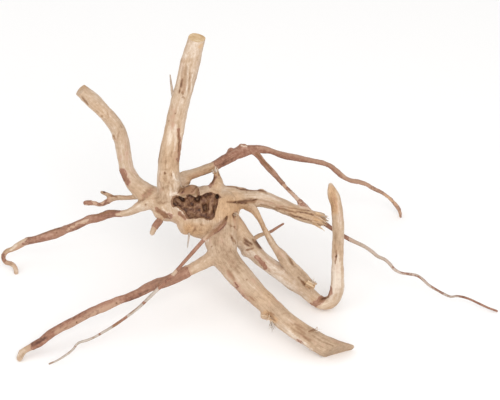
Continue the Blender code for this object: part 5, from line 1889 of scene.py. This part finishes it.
class Shader:
    """A new material, with the patterns, sums and mixes that colour it."""

    def __init__(self, name: str) -> None:
        """Starts a material of this name."""
        self.material = bpy.data.materials.new(name)
        self.material.use_nodes = True
        self.tree = self.material.node_tree
        self.surface = self.tree.nodes["Principled BSDF"].inputs

    def feed(self, name: str, value: Socket) -> None:
        """Links a value to an input of the surface."""
        self.tree.links.new(value, self.surface[name])

    def read(self, name: str, output: str = "Fac") -> Socket:
        """Reads what the carving left on the mesh under this name."""
        return add_node(self.tree, "ShaderNodeAttribute", {}, attribute_name=name).outputs[output]

    def pattern(self, place: Socket, width: float, length: float) -> Socket:
        """Adds noise of a real size.

        Args:
            place: The coordinates that it reads, in metres.
            width: Size of its blotches.
            length: Their length along the coordinates' first axis.

        Returns:
            The noise, about 0.5.
        """
        sizes = (1.0 / (length * MM), 1.0 / (width * MM), 1.0 / (width * MM))
        stretched = add_node(self.tree, "ShaderNodeMapping", {"Vector": place, "Scale": sizes})
        settings = {"Vector": stretched.outputs[0], "Scale": 1.0, "Detail": NOISE_DETAIL}
        return add_node(self.tree, "ShaderNodeTexNoise", settings).outputs[0]

    def sum(self, *parts: tuple, offset: float = 0.0) -> Socket:
        """Adds values, each times its share, and an offset."""
        total: object = offset
        for value, share in parts:
            inputs = {0: value, 1: share, 2: total}
            total = add_node(self.tree, "ShaderNodeMath", inputs, operation="MULTIPLY_ADD").outputs[0]
        return total

    def step(self, value: object, start: float, end: float) -> Socket:
        """Rises from 0 at start to 1 at end."""
        inputs = {"Value": value, 1: start, 2: end}
        node = add_node(self.tree, "ShaderNodeMapRange", inputs, interpolation_type="SMOOTHSTEP")
        return node.outputs[0]

    def mix(self, one: object, other: object, share: object) -> Socket:
        """Mixes two colours by a share."""
        inputs = {0: share, 6: one, 7: other}
        return add_node(self.tree, "ShaderNodeMix", inputs, data_type="RGBA").outputs[2]

    def blend_tones(self, finish: Finish, tone: object) -> Socket:
        """Colours a finish by tone, from its shade at -1 to its lightest grain at 1."""
        low = self.mix(linear(finish.shade), linear(finish.middle), self.step(tone, -1.1, 0.1))
        return self.mix(low, linear(finish.light), self.step(tone, -0.1, 1.1))


@dataclass(frozen=True)
class RootSkinMaterial:
    """The root's own skin: peeled wood, bark and rotted heart, each where the carving left it.

    Attributes:
        name: What it is called.
        fibre_length: Length of the wood's fibres.
        fibre_width: Width of the fibres.
        mottle: Size of its blotches.
        pores: Size of its pores.
        bump: Height of the finest grain, which the mesh is too coarse for.
    """

    name: str = "peeled_azalea_root"
    fibre_length: float = 9.0
    fibre_width: float = 0.7
    mottle: float = 3.0
    pores: float = 0.8
    bump: float = 0.3

    def build(self) -> bpy.types.Material:
        """Builds the material.

        Returns:
            The material.
        """
        shader = Shader(self.name)
        place = add_node(shader.tree, "ShaderNodeTexCoord", {}).outputs["Object"]
        parts = {name: shader.read(name) for name in SHARES}
        fibre = shader.read("fibre", "Vector")
        parts["fibres"] = shader.pattern(fibre, self.fibre_width, self.fibre_length)
        parts["mottle"] = shader.pattern(place, self.mottle, self.mottle)
        parts["pores"] = shader.pattern(place, self.pores, self.pores)
        fibres, mottle, pores = parts["fibres"], parts["mottle"], parts["pores"]

        grain = shader.sum((fibres, 1.5), (mottle, 1.1), (pores, 0.7), offset=-1.65)
        tone = shader.sum((parts["tone"], 1.0), (grain, 1.0))
        cover = shader.sum((parts["bark"], 1.0), (mottle, 0.5), (fibres, 0.3), offset=-0.4)
        barked = shader.step(cover, 0.46, 0.53)
        inside = shader.sum((parts["hollow"], 1.0), (mottle, 0.4), offset=-0.2)
        # Painted shadow: a thin band where the bark ends, as if its raised edge cast shade
        rim = shader.sum((barked, 1.0), (shader.step(cover, 0.5, 0.66), -1.0))

        wood = self.colour_wood(shader, parts, grain, tone)
        colour = shader.mix(wood, self.colour_bark(shader, parts, rim), barked)
        heart = shader.blend_tones(ROTTED_HEART, tone)
        colour = shader.mix(colour, heart, shader.step(inside, 0.42, 0.58))
        shader.feed("Base Color", self.darken_cracks(shader, parts, colour))

        roughness = {"Value": barked, 3: PEELED_WOOD.roughness, 4: ROOT_BARK.roughness}
        shader.feed("Roughness", add_node(shader.tree, "ShaderNodeMapRange", roughness).outputs[0])
        height = shader.sum((fibres, 0.6), (pores, 0.25), (mottle, 0.15))
        relief = {"Height": height, "Strength": 0.5, "Distance": self.bump * MM}
        shader.feed("Normal", add_node(shader.tree, "ShaderNodeBump", relief).outputs[0])
        return shader.material

    @staticmethod
    def colour_wood(
        shader: Shader, parts: dict, grain: Socket, tone: Socket
    ) -> Socket:
        """Colours the peeled wood: golden, flushed and greyed where the carving says.

        Args:
            shader: The material.
            parts: What the carving left, and the patterns.
            grain: The fine grain.
            tone: How light the wood is.

        Returns:
            The wood's colour.
        """
        golden = shader.sum((parts["gold"], 1.0), (grain, 0.25))
        wood = shader.blend_tones(PEELED_WOOD, tone)
        wood = shader.mix(wood, shader.blend_tones(GOLD_WOOD, tone), golden)
        flush = shader.sum((parts["bark"], 1.0), (parts["mottle"], 0.5), offset=-0.25)
        flush = shader.sum((shader.step(flush, 0.05, 0.5), 0.6))
        wood = shader.mix(wood, linear(FLUSHED_WOOD), flush)
        return shader.mix(wood, shader.blend_tones(GREY_WOOD, tone), parts["grey"])

    @staticmethod
    def colour_bark(shader: Shader, parts: dict, rim: Socket) -> Socket:
        """Colours the bark: scraped, flecked, faded where it is golden, and with painted shadow along its
        rims.

        Args:
            shader: The material.
            parts: What the carving left, and the patterns.
            rim: Where the bark ends, darkened there as painted shadow.

        Returns:
            The bark's colour.
        """
        fibres, mottle, pores = parts["fibres"], parts["mottle"], parts["pores"]
        scraped = shader.sum((parts["tone"], 0.8), (mottle, 2.2), (fibres, 0.9), offset=-1.55)
        fleck = shader.step(shader.sum((fibres, 1.0), (pores, 0.8)), 1.0, 1.15)
        bark = shader.blend_tones(ROOT_BARK, scraped)
        bark = shader.mix(bark, linear(PEELED_WOOD.middle), shader.sum((fleck, 0.5)))
        bark = shader.mix(bark, linear(SUNNED_BARK), shader.sum((parts["gold"], 0.7)))
        # Painted shadow along the bark's rim
        return shader.mix(bark, linear(ROOT_BARK.shade), shader.sum((rim, 0.5)))

    @staticmethod
    def darken_cracks(shader: Shader, parts: dict, colour: Socket) -> Socket:
        """Stains the wood about its cracks, browns their bottoms and paints shade into dents, creases and
        grooves.

        Args:
            shader: The material.
            parts: What the carving left, and the patterns.
            colour: The colour so far.

        Returns:
            The colour with its cracks and painted shade.
        """
        fibres, pores = parts["fibres"], parts["pores"]
        # The dark share holds cracks, stains and holes, and painted shade in dents, creases and grooves
        crack = shader.sum((parts["dark"], 1.0), (pores, 0.35), (fibres, 0.3), offset=-0.32)
        stain_and_shade = shader.sum((shader.step(crack, 0.12, 0.6), 0.7))
        colour = shader.mix(colour, linear(STAINED_WOOD), stain_and_shade)
        core = shader.sum((shader.step(crack, 0.6, 1.0), 0.85))
        return shader.mix(colour, linear(CRACK_BROWN), core)


@dataclass(frozen=True)
class EndGrainMaterial:
    """Sawn end grain, with rings about the limb's pith.

    Attributes:
        name: What it is called.
        ring: Width of its growth rings.
        scratch: Size of the saw's scratches.
        torn: Size of its torn blotches.
    """

    name: str = "sawn_azalea_end_grain"
    ring: float = 1.1
    scratch: float = 0.5
    torn: float = 5.0

    def build(self) -> bpy.types.Material:
        """Builds the material.

        Returns:
            The material.
        """
        shader = Shader(self.name)
        fibre = shader.read("fibre", "Vector")
        flat = add_node(shader.tree, "ShaderNodeMapping", {"Vector": fibre, "Scale": (0.0, 1.0, 1.0)})
        waves = {
            "Vector": flat.outputs[0],
            "Scale": math.pi / (10.0 * self.ring * MM),
            "Distortion": 2.5,
            "Detail": 2.0,
            "Detail Scale": 0.6,
        }
        rings = add_node(
            shader.tree, "ShaderNodeTexWave", waves, wave_type="RINGS", rings_direction="SPHERICAL"
        ).outputs["Fac"]
        scratches = {"Vector": fibre, "Scale": 1.0 / (self.scratch * MM), "Detail": NOISE_DETAIL}
        saw = add_node(shader.tree, "ShaderNodeTexNoise", scratches).outputs[0]
        torn = shader.pattern(fibre, self.torn, self.torn)
        tone = shader.sum((rings, 0.7), (saw, 1.6), (torn, 4.0), offset=-3.1)
        shader.feed("Base Color", shader.blend_tones(SAWN_WOOD, tone))
        shader.surface["Roughness"].default_value = SAWN_WOOD.roughness
        return shader.material


@dataclass(frozen=True)
class Lamp:
    """A square soft lamp that faces the root, with its place and size in metres."""

    name: str
    place: Place
    size: float
    power: float

    def hang(self) -> None:
        """Adds the lamp and turns it to the root."""
        deselect_all()
        bpy.ops.object.light_add(type="AREA", location=self.place)
        lamp = bpy.context.object
        lamp.name = self.name
        lamp.data.size = self.size
        lamp.data.energy = self.power
        lamp.rotation_euler = (-Vector(self.place)).to_track_quat("-Z", "Y").to_euler()


@dataclass
class Studio:
    """A pale floor, soft even light and the camera at the picture's eye.

    Attributes:
        floor_half: Half the floor's width, in metres.
        floor_colour: The floor's colour.
        floor_roughness: How dull the floor is.
        room_light: Strength of the light from all around.
        lamps: A strong soft lamp in front and above, and a weak one to the left.
        lens: The camera's focal length.
        sensor: Width of the camera's sensor.
    """

    floor_half: float = 4.0
    floor_colour: str = "#fcfbfa"
    floor_roughness: float = 0.9
    room_light: float = 0.84
    lamps: tuple[Lamp, ...] = (
        Lamp("key", (0.35, -1.35, 1.15), 1.1, 13.0),
        Lamp("fill", (-1.2, -0.6, 1.1), 1.2, 4.0),
    )
    lens: float = 144.0
    sensor: float = 36.0

    def build(self) -> None:
        """Lays the floor, hangs the lamps and sets the camera."""
        self.lay_floor()
        self.light_room()
        for lamp in self.lamps:
            lamp.hang()
        self.aim_camera()

    def lay_floor(self) -> None:
        """Lays a wide plain floor under the root."""
        deselect_all()
        bpy.ops.mesh.primitive_plane_add(size=2 * self.floor_half)
        floor = bpy.context.object
        floor.name = "floor"
        shader = Shader("matt_paper_floor")
        shader.surface["Base Color"].default_value = linear(self.floor_colour)
        shader.surface["Roughness"].default_value = self.floor_roughness
        floor.data.materials.append(shader.material)

    def light_room(self) -> None:
        """Fills the room with even white light."""
        world = bpy.data.worlds.new("white_room")
        world.use_nodes = True
        background = world.node_tree.nodes["Background"].inputs
        background["Color"].default_value = linear("#ffffff")
        background["Strength"].default_value = self.room_light
        bpy.context.scene.world = world

    def aim_camera(self) -> None:
        """Sets the camera where the picture is seen from."""
        aim = PICTURE.place(*PICTURE.sight, 0.0)
        eye = aim + PICTURE.axes[2] * PICTURE.distance
        deselect_all()
        bpy.ops.object.camera_add(location=eye * MM, rotation=(math.pi / 2 - PICTURE.slope, 0.0, 0.0))
        camera = bpy.context.object
        camera.data.lens = self.lens
        camera.data.sensor_width = self.sensor
        bpy.context.scene.camera = camera
        bpy.context.scene.view_settings.view_transform = "Standard"


def main() -> None:
    """Builds the root's wood and its hair roots, dresses them and sets up the studio."""
    logging.basicConfig(level=logging.INFO, format="%(name)s %(message)s")
    material = RootSkinMaterial().build()
    end_grain = EndGrainMaterial().build()
    lumps = [Lump(*sizes) for sizes in BURL_LUMPS + KNOTS]
    lobes = [Lump(*sizes) for sizes in HOLLOW_LOBES]
    hollow = Hollow(HOLLOW_OUTLINE, HOLLOW_MOUTH, HOLLOW_FLOOR, lobes)
    solid = SolidWood(THICK_LIMBS, SPLINTERS, lumps, hollow)
    wood = solid.model()
    LOG.info("skin: %d faces", len(wood.data.polygons))
    root = WoodPiece(wood, Carver(THICK_LIMBS, MARKS, hollow))
    root.carve()
    solid.cut_ends(wood)
    solid.level_feet(wood)
    root.colour(material, end_grain)
    wood.data.polygons.foreach_set("material_index", solid.find_sawn(wood).astype(np.int32))
    root.mount()
    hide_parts("bogwood_root")
    LOG.info("root wood: %d faces", len(wood.data.polygons))
    for k, limb in enumerate(HAIRS, start=1):
        marks = MARKS if limb.marked else []
        hair = WoodPiece(limb.model(), Carver([limb], marks, seed=SEED_STEP * k))
        hair.colour(material)
        hair.mount()
        LOG.info("%s: %d faces", limb.name, len(hair.piece.data.polygons))
    fibres = TornFibres(TUFTS).model(material)
    LOG.info("torn fibres: %d faces", len(fibres.data.polygons))
    Studio().build()


if __name__ == "__main__":
    main()
